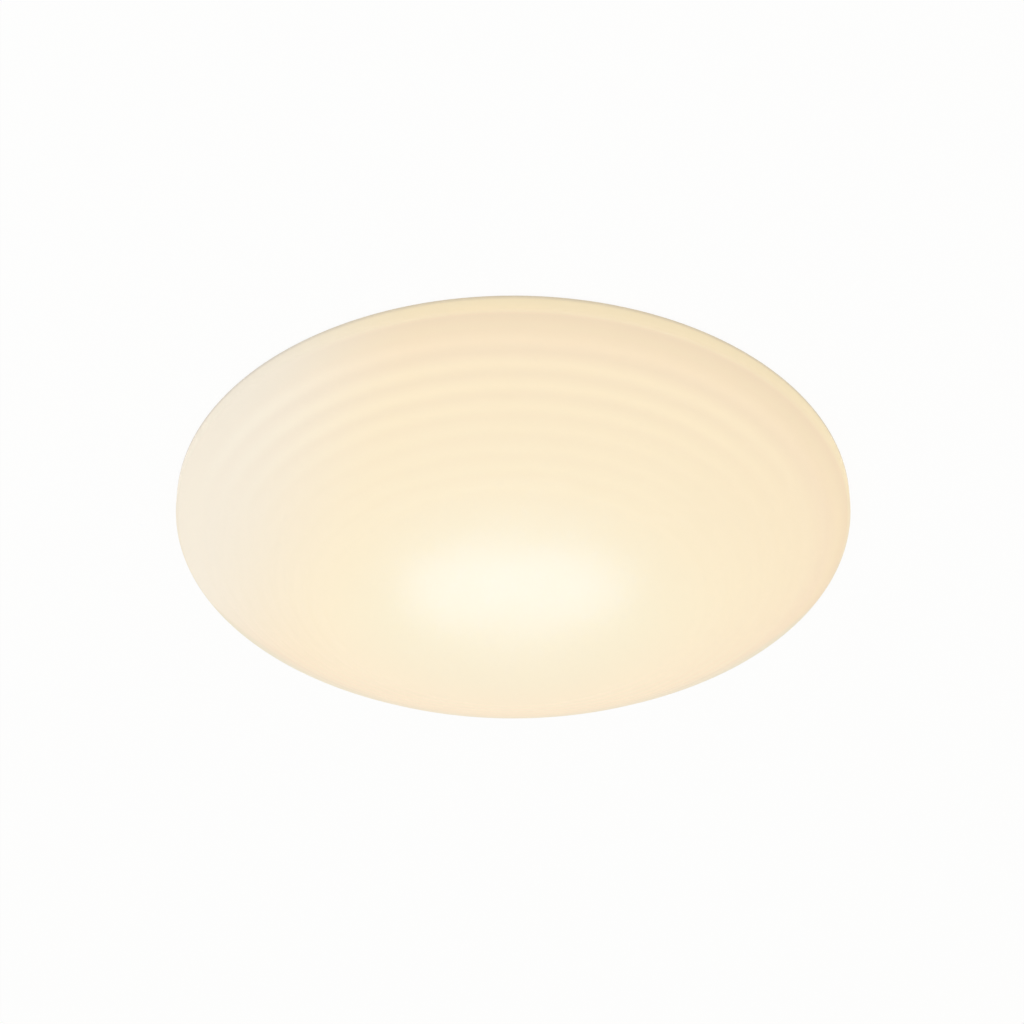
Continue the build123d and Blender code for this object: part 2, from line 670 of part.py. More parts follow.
def make_driver_transformer():
    """Transformer: ferrite core with a narrower taped winding through it."""
    core = Box(TRANSFORMER_LENGTH, TRANSFORMER_WIDTH, TRANSFORMER_HEIGHT)
    core -= Box(WINDING_LENGTH, TRANSFORMER_WIDTH, WINDING_HEIGHT)
    winding = Box(WINDING_LENGTH, WINDING_WIDTH, WINDING_HEIGHT)
    winding = fillet(winding.edges().filter_by(Axis.X), WINDING_EDGE)
    level = board_level() - TRANSFORMER_HEIGHT / 2
    return Pos(DRIVER_CENTRE_X + TRANSFORMER_X, 0, level) * (core + winding)


def make_driver_capacitors():
    """Two electrolytic capacitors standing on the board."""
    can = Cylinder(CAPACITOR_RADIUS, CAPACITOR_HEIGHT)
    can = fillet(can.edges().group_by(Axis.Z)[0], CAPACITOR_EDGE)
    level = board_level() - CAPACITOR_HEIGHT / 2
    x = DRIVER_CENTRE_X - DRIVER_LENGTH / 4
    return Compound([Pos(x, side * CAPACITOR_PITCH / 2, level) * can for side in (-1, 1)])


def make_driver_screws():
    """Screws through the driver's ears."""
    return small_screws(driver_screw_places(), PAN_FACE - DRIVER_EAR_HEIGHT, PAN_TOP)


def pillar_places():
    """Centres of the tray's pillars."""
    places = []
    for index in range(PILLAR_COUNT):
        angle = math.radians(PILLAR_FIRST_ANGLE + 360 / PILLAR_COUNT * index)
        places.append((PILLAR_CIRCLE * math.cos(angle), PILLAR_CIRCLE * math.sin(angle)))
    return places


def make_tray_pillars():
    """Hexagonal pillars riveted into the pan, tapped for the tray's screws."""
    length = PAN_FACE - TRAY_TOP
    body = extrude(RegularPolygon(PILLAR_ACROSS_FLATS / 2, 6, major_radius=False), amount=length)
    pillar = Pos(0, 0, TRAY_TOP) * body
    spigot = Cylinder(PILLAR_SPIGOT_RADIUS, PAN_SHEET)
    pillar += Pos(0, 0, PAN_FACE + PAN_SHEET / 2) * spigot
    tapped = Cylinder(SMALL_SCREW_RADIUS + SCREW_HOLE_CLEARANCE, length / 2)
    pillar -= Pos(0, 0, TRAY_TOP + length / 4) * tapped
    return Compound([Pos(x, y, 0) * pillar for x, y in pillar_places()])


def make_gear_tray():
    """Tray: a pressed disc with a turned-up rim, holes for screws and for the lamp leads."""
    rim_top = TRAY_FACE + TRAY_RIM
    floor = Line((0, TRAY_FACE), (TRAY_RADIUS - TRAY_CORNER, TRAY_FACE))
    corner = JernArc(floor @ 1, (1, 0), TRAY_CORNER, 90)
    wall = Line(corner @ 1, (TRAY_RADIUS, rim_top))
    lip = Line(wall @ 1, (TRAY_RADIUS - TRAY_SHEET, rim_top))
    inner_wall = Line(lip @ 1, (TRAY_RADIUS - TRAY_SHEET, TRAY_TOP))
    top = Line(inner_wall @ 1, (0, TRAY_TOP))
    axis_edge = Line(top @ 1, floor @ 0)
    outline = [floor, corner, wall, lip, inner_wall, top, axis_edge]
    tray = revolve(Plane.XZ * make_face(outline), Axis.Z)
    middle = (TRAY_TOP + TRAY_FACE) / 2
    for x, y in pillar_places() + board_screw_places():
        tray -= Pos(x, y, middle) * Cylinder(SMALL_SCREW_RADIUS + SCREW_HOLE_CLEARANCE, TRAY_SHEET)
    tray -= Pos(TRAY_HOLE_X, 0, middle) * Cylinder(TRAY_HOLE_RADIUS, TRAY_SHEET)
    return tray


def make_tray_screws():
    """Screws through the tray into its pillars."""
    tip = TRAY_TOP + (PAN_FACE - TRAY_TOP) / 3
    return small_screws(pillar_places(), TRAY_FACE, tip)


def make_tray_grommet():
    """Grommet of the lamp leads, in the tray."""
    body = grommet(
        TRAY_HOLE_RADIUS, TRAY_GROMMET_BORE, TRAY_GROMMET_LIP, TRAY_GROMMET_FLANGE, TRAY_FACE, TRAY_TOP
    )
    return Pos(TRAY_HOLE_X, 0, 0) * body


def board_screw_places():
    """Centres of the screws that hold the light board."""
    places = []
    for index in range(BOARD_SCREW_COUNT):
        angle = math.radians(BOARD_SCREW_ANGLE + 360 / BOARD_SCREW_COUNT * index)
        places.append((BOARD_SCREW_CIRCLE * math.cos(angle), BOARD_SCREW_CIRCLE * math.sin(angle)))
    return places


def drilled_disc(radius, low, high):
    """Disc with the light board's screw holes."""
    middle = (low + high) / 2
    disc = Pos(0, 0, middle) * Cylinder(radius, high - low)
    for x, y in board_screw_places():
        disc -= Pos(x, y, middle) * Cylinder(SMALL_SCREW_RADIUS + SCREW_HOLE_CLEARANCE, high - low)
    return disc


def make_thermal_pad():
    """Heat-conducting pad between tray and light board."""
    return drilled_disc(PAD_RADIUS, PAD_FACE, TRAY_FACE)


def make_led_board():
    """Aluminium-backed light board."""
    return drilled_disc(LED_BOARD_RADIUS, LED_FACE, PAD_FACE)


def make_led_chips():
    """Light-emitting chips in rings, each turned to face the centre."""
    chip = Pos(0, 0, LED_FACE - CHIP_HEIGHT / 2) * Box(CHIP_LENGTH, CHIP_WIDTH, CHIP_HEIGHT)
    chips = []
    for ring_index in range(1, CHIP_RINGS + 1):
        count = CHIPS_PER_RING_STEP * ring_index
        for index in range(count):
            angle = 360 / count * (index + 0.5)
            chips.append(Rot(0, 0, angle) * Pos(CHIP_RING_STEP * ring_index, 0, 0) * chip)
    return Compound(chips)


def make_led_board_screws():
    """Screws through board and pad into the tray."""
    return small_screws(board_screw_places(), LED_FACE, TRAY_TOP)


def make_led_socket():
    """Socket on the light board, open towards the tray's grommet."""
    socket = Box(SOCKET_LENGTH, SOCKET_WIDTH, SOCKET_HEIGHT)
    room = Box(SOCKET_LENGTH, SOCKET_WIDTH - 2 * SOCKET_WALL, SOCKET_HEIGHT - 2 * SOCKET_WALL)
    socket -= Pos(-SOCKET_WALL, 0, 0) * room
    return Pos(SOCKET_X, 0, LED_FACE - SOCKET_HEIGHT / 2) * socket


def make_led_plug():
    """Plug in the socket, with a hole for each lamp lead."""
    slack = 2 * PLUG_CLEARANCE
    length = SOCKET_LENGTH - SOCKET_WALL + PLUG_PROUD - PLUG_CLEARANCE
    plug = Box(length, SOCKET_WIDTH - 2 * SOCKET_WALL - slack, SOCKET_HEIGHT - 2 * SOCKET_WALL - slack)
    level = LED_FACE - SOCKET_HEIGHT / 2
    plug = Pos(plug_end() + length / 2, 0, level) * plug
    for side in (-1, 1):
        core = Rot(0, 90, 0) * Cylinder(LED_LEAD_RADIUS, PLUG_PROUD)
        plug -= Pos(plug_end() + PLUG_PROUD / 2, side * LED_LEAD_PITCH / 2, level) * core
    return plug


def plug_end():
    """X of the plug's outer end."""
    return SOCKET_X - SOCKET_LENGTH / 2 - PLUG_PROUD


def make_led_lead(name, side):
    """Lamp lead from the driver, down through the tray's grommet and back to the plug."""
    y = side * LED_LEAD_PITCH / 2
    plug_level = LED_FACE - SOCKET_HEIGHT / 2
    start = driver_port(-1, y)
    turn_level = TRAY_TOP + LED_LEAD_DROP
    squeezed = y * LED_LEAD_SQUEEZE
    points = [
        start,
        (TRAY_HOLE_X + LED_LEAD_SWING, y, LEAD_LEVEL),
        (TRAY_HOLE_X, squeezed, turn_level),
        (TRAY_HOLE_X, squeezed, TRAY_FACE + LED_LEAD_EXIT),
        (TRAY_HOLE_X + LED_LEAD_SWING / 2, y, plug_level),
        (plug_end() + PLUG_PROUD, y, plug_level),
    ]
    return lead_between(name, LED_LEAD_RADIUS, points)


os.makedirs("parts", exist_ok=True)

buttons = pole_places()
pieces = {
    "ceiling_pan": make_ceiling_pan(),
    "ceiling_gasket": make_ceiling_gasket(),
    "rim_seal": make_rim_seal(),
    "diffuser": make_diffuser(),
    "cable_grommet": make_cable_grommet(),
    "clamp_saddle": make_clamp_saddle(),
    "clamp_bar": make_clamp_bar(),
    "clamp_screws": make_clamp_screws(),
    "terminal_block": make_terminal_block(),
    "terminal_button_live": make_terminal_button(*buttons[0]),
    "terminal_button_neutral": make_terminal_button(*buttons[1]),
    "terminal_button_earth": make_terminal_button(*buttons[2]),
    "terminal_screws": make_terminal_screws(),
    "earth_screw": make_earth_screw(),
    "earth_tag": make_earth_tag(),
    "earth_lead": make_earth_lead(),
    "live_lead": make_live_lead(),
    "neutral_lead": make_neutral_lead(),
    "driver_base": make_driver_base(),
    "driver_cover": make_driver_cover(),
    "driver_board": make_driver_board(),
    "driver_transformer": make_driver_transformer(),
    "driver_capacitors": make_driver_capacitors(),
    "driver_screws": make_driver_screws(),
    "tray_pillars": make_tray_pillars(),
    "gear_tray": make_gear_tray(),
    "tray_screws": make_tray_screws(),
    "tray_grommet": make_tray_grommet(),
    "thermal_pad": make_thermal_pad(),
    "led_board": make_led_board(),
    "led_chips": make_led_chips(),
    "led_board_screws": make_led_board_screws(),
    "led_socket": make_led_socket(),
    "led_plug": make_led_plug(),
    "led_lead_positive": make_led_lead("led_lead_positive", 1),
    "led_lead_negative": make_led_lead("led_lead_negative", -1),
}
for name, shape in pieces.items():
    export_step(shape, f"parts/{name}.step")
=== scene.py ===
import math

import bpy
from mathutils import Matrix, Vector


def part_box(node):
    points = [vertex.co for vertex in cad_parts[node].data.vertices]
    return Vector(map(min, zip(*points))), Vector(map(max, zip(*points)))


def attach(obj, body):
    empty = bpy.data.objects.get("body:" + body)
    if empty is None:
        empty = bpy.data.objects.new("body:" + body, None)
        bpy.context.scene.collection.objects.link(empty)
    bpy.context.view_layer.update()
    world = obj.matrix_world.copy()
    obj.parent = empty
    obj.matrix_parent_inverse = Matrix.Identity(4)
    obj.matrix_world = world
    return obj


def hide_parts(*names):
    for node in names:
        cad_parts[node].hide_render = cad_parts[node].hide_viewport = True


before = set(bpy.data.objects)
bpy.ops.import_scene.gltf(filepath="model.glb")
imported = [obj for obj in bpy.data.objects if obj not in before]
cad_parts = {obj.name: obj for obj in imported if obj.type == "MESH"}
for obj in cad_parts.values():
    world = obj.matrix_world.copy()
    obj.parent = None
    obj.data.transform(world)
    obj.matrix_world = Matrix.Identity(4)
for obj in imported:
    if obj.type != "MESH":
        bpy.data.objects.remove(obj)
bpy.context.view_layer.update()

# Opal dome. One injection-moulded acrylic shell: an upright skirt at the ceiling, a rolled shoulder,
# eight shallow concentric ripples and a smooth bulged centre. Four lugs with stop walls inside the
# skirt lock it on the pan. Its glow is painted on as emission, standing in for the light of the board
# behind it, which also shows through the shell.
DOME_RADIUS = 0.200
DOME_WALL = 0.0026
SKIRT_TOP = -0.0008
SKIRT_FOOT = -0.0098
SKIRT_DRAFT = 0.0005
SKIRT_CORNER = 0.0025
RIM_ROUND = 0.0006
SHOULDER_WIDTH = 0.009
DOME_RISE = 0.0672
DOME_POWER = 1.78
CENTRE_RADIUS = 0.106
CENTRE_DEPTH = 0.014
RIPPLE_COUNT = 8
RIPPLE_HEIGHT = 0.0005
TAB_COUNT = 4
LUG_INNER = 0.1898
LUG_OUTER = 0.1982
LUG_LOW = -0.0077
LUG_HIGH = -0.0057
LUG_START_DEG = -9.52
LUG_END_DEG = 5.0
STOP_ARC_DEG = 1.4
STOP_DROP = 0.0015
TURN_STEPS = 192
CROWN_STEPS = 16
STEPS_PER_RIPPLE = 16
CORNER_STEPS = 8
RIM_STEPS = 4
INNER_STEPS = 32
SMOOTH_DEG = 35
band_outer = DOME_RADIUS - SHOULDER_WIDTH


def valley_level(radius):
    """Height of the outer face at a radius from the axis, in the valleys of the ripples."""
    if radius >= CENTRE_RADIUS:
        return SKIRT_FOOT - DOME_RISE * (1 - (radius / DOME_RADIUS) ** DOME_POWER)
    curve = (CENTRE_RADIUS**2 + CENTRE_DEPTH**2) / (2 * CENTRE_DEPTH)
    crown = valley_level(CENTRE_RADIUS) - CENTRE_DEPTH
    return crown + curve - math.sqrt(curve**2 - radius**2)


def ripple_swell(radius):
    """How far the ripples stand out from the valleys at a radius."""
    share = (band_outer - radius) / (band_outer - CENTRE_RADIUS)
    return RIPPLE_HEIGHT * math.sin(math.pi * RIPPLE_COUNT * share) ** 2


def rounded(corner, before, after, reach, steps):
    """Points of a soft corner between two straight runs."""
    ends = []
    for end in (before, after):
        run = math.dist(corner, end)
        ends.append([corner[i] + (end[i] - corner[i]) * reach / run for i in (0, 1)])
    points = []
    for step in range(steps + 1):
        t = step / steps
        shares = ((1 - t) ** 2, 2 * t * (1 - t), t**2)
        bases = (ends[0], corner, ends[1])
        points.append(tuple(sum(part * base[i] for part, base in zip(shares, bases)) for i in (0, 1)))
    return points


def dome_outline():
    """Section of the shell as (radius, height), from the crown out to the rim and back inside."""
    foot = (DOME_RADIUS - SKIRT_DRAFT, SKIRT_FOOT)
    rim = (DOME_RADIUS, SKIRT_TOP)
    inner_wall = DOME_RADIUS - SKIRT_DRAFT - DOME_WALL
    inner_rim = (inner_wall, SKIRT_TOP)
    crown = [CENTRE_RADIUS * step / CROWN_STEPS for step in range(CROWN_STEPS)]
    outer = [(radius, valley_level(radius)) for radius in crown]
    ripple_steps = STEPS_PER_RIPPLE * RIPPLE_COUNT
    for step in range(ripple_steps + 1):
        radius = CENTRE_RADIUS + (band_outer - CENTRE_RADIUS) * step / ripple_steps
        outer.append((radius, valley_level(radius) - ripple_swell(radius)))
    turn = math.pi / 2 - math.atan2(foot[1] - valley_level(band_outer), foot[0] - band_outer)
    outer += rounded(foot, outer[-1], rim, SKIRT_CORNER * math.tan(turn / 2), CORNER_STEPS)
    outer += rounded(rim, foot, inner_rim, RIM_ROUND, RIM_STEPS)
    inner = rounded(inner_rim, rim, (inner_wall, SKIRT_FOOT), RIM_ROUND, RIM_STEPS)
    inner.append((inner_wall, SKIRT_FOOT))
    for step in range(INNER_STEPS + 1):
        radius = band_outer * (1 - step / INNER_STEPS)
        inner.append((radius, valley_level(radius) + DOME_WALL))
    return outer + inner


def turned(outline, steps):
    """Points and faces of a closed outline of (radius, height) turned about the upright axis."""
    points = []
    rings = []
    for radius, level in outline:
        if radius < 1e-6:
            rings.append([len(points)] * steps)
            points.append((0, 0, level))
            continue
        rings.append(list(range(len(points), len(points) + steps)))
        for step in range(steps):
            turn = 2 * math.pi * step / steps
            points.append((radius * math.cos(turn), radius * math.sin(turn), level))
    faces = []
    for index, ring in enumerate(rings):
        following = rings[(index + 1) % len(rings)]
        for step in range(steps):
            after = (step + 1) % steps
            corners = [ring[step], ring[after], following[after], following[step]]
            corners = [c for i, c in enumerate(corners) if c != corners[i - 1]]
            if len(corners) > 2:
                faces.append(corners)
    return points, faces


def add_arc_block(points, faces, inner, outer, low, high, start_deg, end_deg):
    """Adds a block that follows an arc about the upright axis, in steps of about a degree."""
    steps = max(2, round(end_deg - start_deg))
    first = len(points)
    for step in range(steps + 1):
        turn = math.radians(start_deg + (end_deg - start_deg) * step / steps)
        for radius, level in ((inner, low), (outer, low), (outer, high), (inner, high)):
            points.append((radius * math.cos(turn), radius * math.sin(turn), level))
    for step in range(steps):
        a = first + 4 * step
        for side in range(4):
            after = (side + 1) % 4
            faces.append([a + side, a + 4 + side, a + 4 + after, a + after])
    last = first + 4 * steps
    faces.append([first, first + 1, first + 2, first + 3])
    faces.append([last + 3, last + 2, last + 1, last])


def add_piece(name, points, faces):
    """A new object of the given mesh, smooth where its faces meet at less than an angle."""
    mesh = bpy.data.meshes.new(name)
    mesh.from_pydata(points, [], faces)
    mesh.shade_smooth()
    mesh.set_sharp_from_angle(angle=math.radians(SMOOTH_DEG))
    piece = bpy.data.objects.new(name, mesh)
    bpy.context.scene.collection.objects.link(piece)
    return piece


def linear(hex_colour):
    """Linear RGBA of an sRGB colour written as hex."""
    parts = [int(hex_colour[i : i + 2], 16) / 255 for i in (1, 3, 5)]
    return (*[p / 12.92 if p <= 0.04045 else ((p + 0.055) / 1.055) ** 2.4 for p in parts], 1.0)


def add_node(tree, kind, links=None, **settings):
    """A node with its settings, and its inputs set to values or linked to sockets."""
    node = tree.nodes.new(kind)
    for name, value in settings.items():
        setattr(node, name, value)
    for name, value in (links or {}).items():
        if isinstance(value, bpy.types.NodeSocket):
            tree.links.new(value, node.inputs[name])
        else:
            node.inputs[name].default_value = value
    return node


def new_finish(name, roughness, metallic=0.0):
    """A new material with its node tree and its surface shader."""
    finish = bpy.data.materials.new(name)
    finish.use_nodes = True
    shader = finish.node_tree.nodes["Principled BSDF"]
    shader.inputs["Roughness"].default_value = roughness
    shader.inputs["Metallic"].default_value = metallic
    return finish, finish.node_tree, shader


def dress(finish, *node_names):
    """Gives carried-over nodes a finish."""
    for name in node_names:
        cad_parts[name].data.materials.clear()
        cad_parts[name].data.materials.append(finish)


# Satin opal acrylic: milky plastic with a fine matt skin from the mould, whose grain is drawn coarser
# than the real one. Its glow is painted on as emission, in a soft warm colour, with painted shade
# deeper at the shoulder, greyer at the far edge, a shade dimmer over the far half and in a dark band
# along the top of the skirt, painted light paler on the side towards the window, and painted highlight
# lines along the ripples, strong on the near side and fainter at the back. The places below are in
# metres on the dome, with Y from the near side to the back and X to the right.
# Painted glow and shade by distance from the axis, deeper towards the shoulder.
GLOW_STOPS = [
    (0.0, "#ABA387"),
    (0.35, "#ABA284"),
    (0.55, "#AEA181"),
    (0.80, "#AC9C7A"),
    (0.875, "#AB9A78"),
    (0.925, "#A89473"),
    (0.96, "#A99570"),
    (0.987, "#A28D69"),
    (0.993, "#AF9A74"),
    (0.998, "#AA9A6E"),
    (1.0, "#AA9A6E"),
]
FAR_PAINTED_SHADE = "#FBF6FC"
FAR_SHADE_FULL = 0.14
DAYLIT_SIDE = "#A59E8F"
DAYLIT_FROM = -0.1
DAYLIT_FULL = -0.19
DAYLIGHT_SLANT = 0.3
PAINTED_EDGE_SHADE = "#978F76"
EDGE_THIN_TO = 0.06
EDGE_THIN = (DOME_RADIUS - 0.0025, DOME_RADIUS - 0.0005)
EDGE_BROAD_FROM = 0.16
EDGE_BROAD = (0.146, 0.198)
EDGE_FADE = (-0.06, 0.0)
RIPPLE_PAINTED_HIGHLIGHT = 0.052
NEAR_LINES = (-0.055, -0.14)
FAR_LINES = (0.07, 0.14)
FAR_LINES_SHARE = 0.5
INNER_LINES_TO = 0.145
INNER_LINES_SHARE = 0.45
OUTER_LINES_FROM = 0.163
RIM_BAND = 0.0028
RIM_GLOW = 0.3
GRAIN_SPACING_MM = 0.6
opal, tree, shader = new_finish("satin_opal_acrylic_painted_glow", 0.65)
place = add_node(tree, "ShaderNodeTexCoord")
apart = add_node(tree, "ShaderNodeSeparateXYZ", {"Vector": place.outputs["Object"]})
flat = add_node(tree, "ShaderNodeCombineXYZ", {"X": apart.outputs["X"], "Y": apart.outputs["Y"]})
reach = add_node(tree, "ShaderNodeVectorMath", {0: flat.outputs[0]}, operation="LENGTH")
share = add_node(tree, "ShaderNodeMapRange", {"Value": reach.outputs["Value"], "From Max": DOME_RADIUS})
glow = add_node(tree, "ShaderNodeValToRGB", {"Fac": share.outputs["Result"]})
for index, (spot, colour) in enumerate(GLOW_STOPS):
    stop = glow.color_ramp.elements[index] if index < 2 else glow.color_ramp.elements.new(spot)
    stop.position = spot
    stop.color = linear(colour)
# Painted shade: the glow is multiplied by a faintly darker colour over the far half, most of all in green.
away = add_node(tree, "ShaderNodeMapRange", {"Value": apart.outputs["Y"], "From Max": FAR_SHADE_FULL})
far_shaded = add_node(
    tree,
    "ShaderNodeMix",
    {0: away.outputs["Result"], 6: glow.outputs["Color"], 7: linear(FAR_PAINTED_SHADE)},
    data_type="RGBA",
    blend_type="MULTIPLY",
)
# Painted light: the glow turns paler and cooler towards the near left, where the window's light falls.
slanted = add_node(
    tree,
    "ShaderNodeMath",
    {0: apart.outputs["Y"], 1: DAYLIGHT_SLANT, 2: apart.outputs["X"]},
    operation="MULTIPLY_ADD",
)
daylit = add_node(
    tree,
    "ShaderNodeMapRange",
    {"Value": slanted.outputs[0], "From Min": DAYLIT_FROM, "From Max": DAYLIT_FULL},
    interpolation_type="SMOOTHSTEP",
)
sided = add_node(
    tree,
    "ShaderNodeMix",
    {0: daylit.outputs["Result"], 6: far_shaded.outputs[2], 7: linear(DAYLIT_SIDE)},
    data_type="RGBA",
)
# Painted shade: a grey-brown band along the outer edge, over the far half and the sides, thin near the sides
# and broader towards the back.
edge_start, edge_end = [
    add_node(
        tree,
        "ShaderNodeMapRange",
        {
            "Value": apart.outputs["Y"],
            "From Min": EDGE_THIN_TO,
            "From Max": EDGE_BROAD_FROM,
            "To Min": thin,
            "To Max": broad,
        },
    )
    for thin, broad in zip(EDGE_THIN, EDGE_BROAD)
]
edge = add_node(
    tree,
    "ShaderNodeMapRange",
    {
        "Value": reach.outputs["Value"],
        "From Min": edge_start.outputs["Result"],
        "From Max": edge_end.outputs["Result"],
    },
)
turned_away = add_node(
    tree,
    "ShaderNodeMapRange",
    {"Value": apart.outputs["Y"], "From Min": EDGE_FADE[0], "From Max": EDGE_FADE[1]},
)
edge_shade_share = add_node(
    tree,
    "ShaderNodeMath",
    {0: edge.outputs["Result"], 1: turned_away.outputs["Result"]},
    operation="MULTIPLY",
)
edge_shaded = add_node(
    tree,
    "ShaderNodeMix",
    {0: edge_shade_share.outputs[0], 6: sided.outputs[2], 7: linear(PAINTED_EDGE_SHADE)},
    data_type="RGBA",
)
# Painted highlight: the glow is brighter along each ripple's crest and dimmer in its valleys, fully on the
# near side, at half strength at the back, not at the sides, and weaker towards the centre.
turns = add_node(
    tree,
    "ShaderNodeMapRange",
    {
        "Value": reach.outputs["Value"],
        "From Min": band_outer,
        "From Max": CENTRE_RADIUS,
        "To Max": 2 * math.pi * RIPPLE_COUNT,
    },
)
wave = add_node(tree, "ShaderNodeMath", {0: turns.outputs["Result"]}, operation="COSINE")
near = add_node(
    tree,
    "ShaderNodeMapRange",
    {"Value": apart.outputs["Y"], "From Min": NEAR_LINES[0], "From Max": NEAR_LINES[1]},
)
far = add_node(
    tree,
    "ShaderNodeMapRange",
    {
        "Value": apart.outputs["Y"],
        "From Min": FAR_LINES[0],
        "From Max": FAR_LINES[1],
        "To Max": FAR_LINES_SHARE,
    },
)
sides = add_node(
    tree, "ShaderNodeMath", {0: near.outputs["Result"], 1: far.outputs["Result"]}, operation="MAXIMUM"
)
wide = add_node(
    tree,
    "ShaderNodeMapRange",
    {
        "Value": reach.outputs["Value"],
        "From Min": INNER_LINES_TO,
        "From Max": OUTER_LINES_FROM,
        "To Min": INNER_LINES_SHARE,
    },
)
shown = add_node(
    tree, "ShaderNodeMath", {0: sides.outputs[0], 1: wide.outputs["Result"]}, operation="MULTIPLY"
)
lines = add_node(tree, "ShaderNodeMath", {0: wave.outputs[0], 1: shown.outputs[0]}, operation="MULTIPLY")
ripple_highlighted = add_node(
    tree,
    "ShaderNodeMapRange",
    {"Value": lines.outputs[0], "From Min": -1.0, "To Min": 1 + RIPPLE_PAINTED_HIGHLIGHT, "To Max": 1 - RIPPLE_PAINTED_HIGHLIGHT},
)
# Painted shade: the glow fades to three tenths in a band along the top of the skirt, next to the ceiling.
rim_shade = add_node(
    tree,
    "ShaderNodeMapRange",
    {
        "Value": apart.outputs["Z"],
        "From Min": SKIRT_TOP - RIM_BAND,
        "From Max": SKIRT_TOP,
        "To Min": 1.0,
        "To Max": RIM_GLOW,
    },
)
shading = add_node(
    tree,
    "ShaderNodeMath",
    {0: ripple_highlighted.outputs["Result"], 1: rim_shade.outputs["Result"]},
    operation="MULTIPLY",
)
lit = add_node(tree, "ShaderNodeVectorMath", {0: edge_shaded.outputs[2], 3: shading.outputs[0]}, operation="SCALE")
grain = add_node(
    tree,
    "ShaderNodeTexNoise",
    {"Vector": place.outputs["Object"], "Scale": 1000 / GRAIN_SPACING_MM, "Detail": 2.0},
)
skin = add_node(
    tree, "ShaderNodeBump", {"Height": grain.outputs["Fac"], "Strength": 0.08, "Distance": 0.0001}
)
tree.links.new(lit.outputs[0], shader.inputs["Emission Color"])
tree.links.new(skin.outputs["Normal"], shader.inputs["Normal"])
shader.inputs["Emission Strength"].default_value = 1.0
shader.inputs["Base Color"].default_value = linear("#CBC5BB")
shader.inputs["Transmission Weight"].default_value = 0.2
shader.inputs["IOR"].default_value = 1.49

points, faces = turned(dome_outline(), TURN_STEPS)
for tab in range(TAB_COUNT):
    angle = 360 / TAB_COUNT * tab
    start = angle + LUG_START_DEG
    add_arc_block(points, faces, LUG_INNER, LUG_OUTER, LUG_LOW, LUG_HIGH, start, angle + LUG_END_DEG)
    stop_end = start + STOP_ARC_DEG
    add_arc_block(points, faces, LUG_INNER, LUG_OUTER, LUG_LOW - STOP_DROP, LUG_LOW, start, stop_end)
dome = add_piece("opal_dome", points, faces)
dome.data.materials.append(opal)
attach(dome, "dome")
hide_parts("diffuser")

# Ceiling pan and gear tray. Both are pressed from sheet steel and powder coated white: the pan is
# screwed to the ceiling through the slots in its four feet, and the tray hangs on three pillars.
# The coat has a faint orange-peel skin and is rubbed through to the steel round the slots.
PEEL_SPACING_MM = 1.4
CLOUD_SPACING_MM = 45.0
FOOT_REACH = 0.085
RUBBED_TO = 0.006
RUB_END = 0.0105
RUB_SHARE = 0.75


def shades(tree, spacing_mm, detail, deep, pale):
    """A cloudy pattern, and the colour that wanders with it between two shades."""
    place = add_node(tree, "ShaderNodeTexCoord")
    cloud = add_node(
        tree,
        "ShaderNodeTexNoise",
        {"Vector": place.outputs["Object"], "Scale": 1000 / spacing_mm, "Detail": detail},
    )
    tint = add_node(
        tree,
        "ShaderNodeMix",
        {0: cloud.outputs["Fac"], 6: linear(deep), 7: linear(pale)},
        data_type="RGBA",
    )
    return cloud.outputs["Fac"], tint.outputs[2]


coat, tree, shader = new_finish("white_powder_coat", 0.42)
tint = shades(tree, CLOUD_SPACING_MM, 3.0, "#E2E2DC", "#EDEDE9")[1]
place = add_node(tree, "ShaderNodeTexCoord")
peel = add_node(
    tree,
    "ShaderNodeTexNoise",
    {"Vector": place.outputs["Object"], "Scale": 1000 / PEEL_SPACING_MM, "Detail": 2.0},
)
corner = add_node(tree, "ShaderNodeVectorMath", {0: place.outputs["Object"]}, operation="ABSOLUTE")
offset = add_node(
    tree,
    "ShaderNodeVectorMath",
    {0: corner.outputs[0], 1: (FOOT_REACH, FOOT_REACH, 0.0)},
    operation="SUBTRACT",
)
near = add_node(tree, "ShaderNodeVectorMath", {0: offset.outputs[0]}, operation="LENGTH")
rub = add_node(
    tree,
    "ShaderNodeMapRange",
    {
        "Value": near.outputs["Value"],
        "From Min": RUBBED_TO,
        "From Max": RUB_END,
        "To Min": RUB_SHARE,
        "To Max": 0.0,
    },
)
patchy = add_node(
    tree, "ShaderNodeMath", {0: rub.outputs["Result"], 1: peel.outputs["Fac"]}, operation="MULTIPLY"
)
worn = add_node(
    tree, "ShaderNodeMix", {0: patchy.outputs[0], 6: tint, 7: linear("#8E8D88")}, data_type="RGBA"
)
skin = add_node(
    tree, "ShaderNodeBump", {"Height": peel.outputs["Fac"], "Strength": 0.2, "Distance": 0.0002}
)
tree.links.new(worn.outputs[2], shader.inputs["Base Color"])
tree.links.new(skin.outputs["Normal"], shader.inputs["Normal"])
dress(coat, "ceiling_pan", "gear_tray")

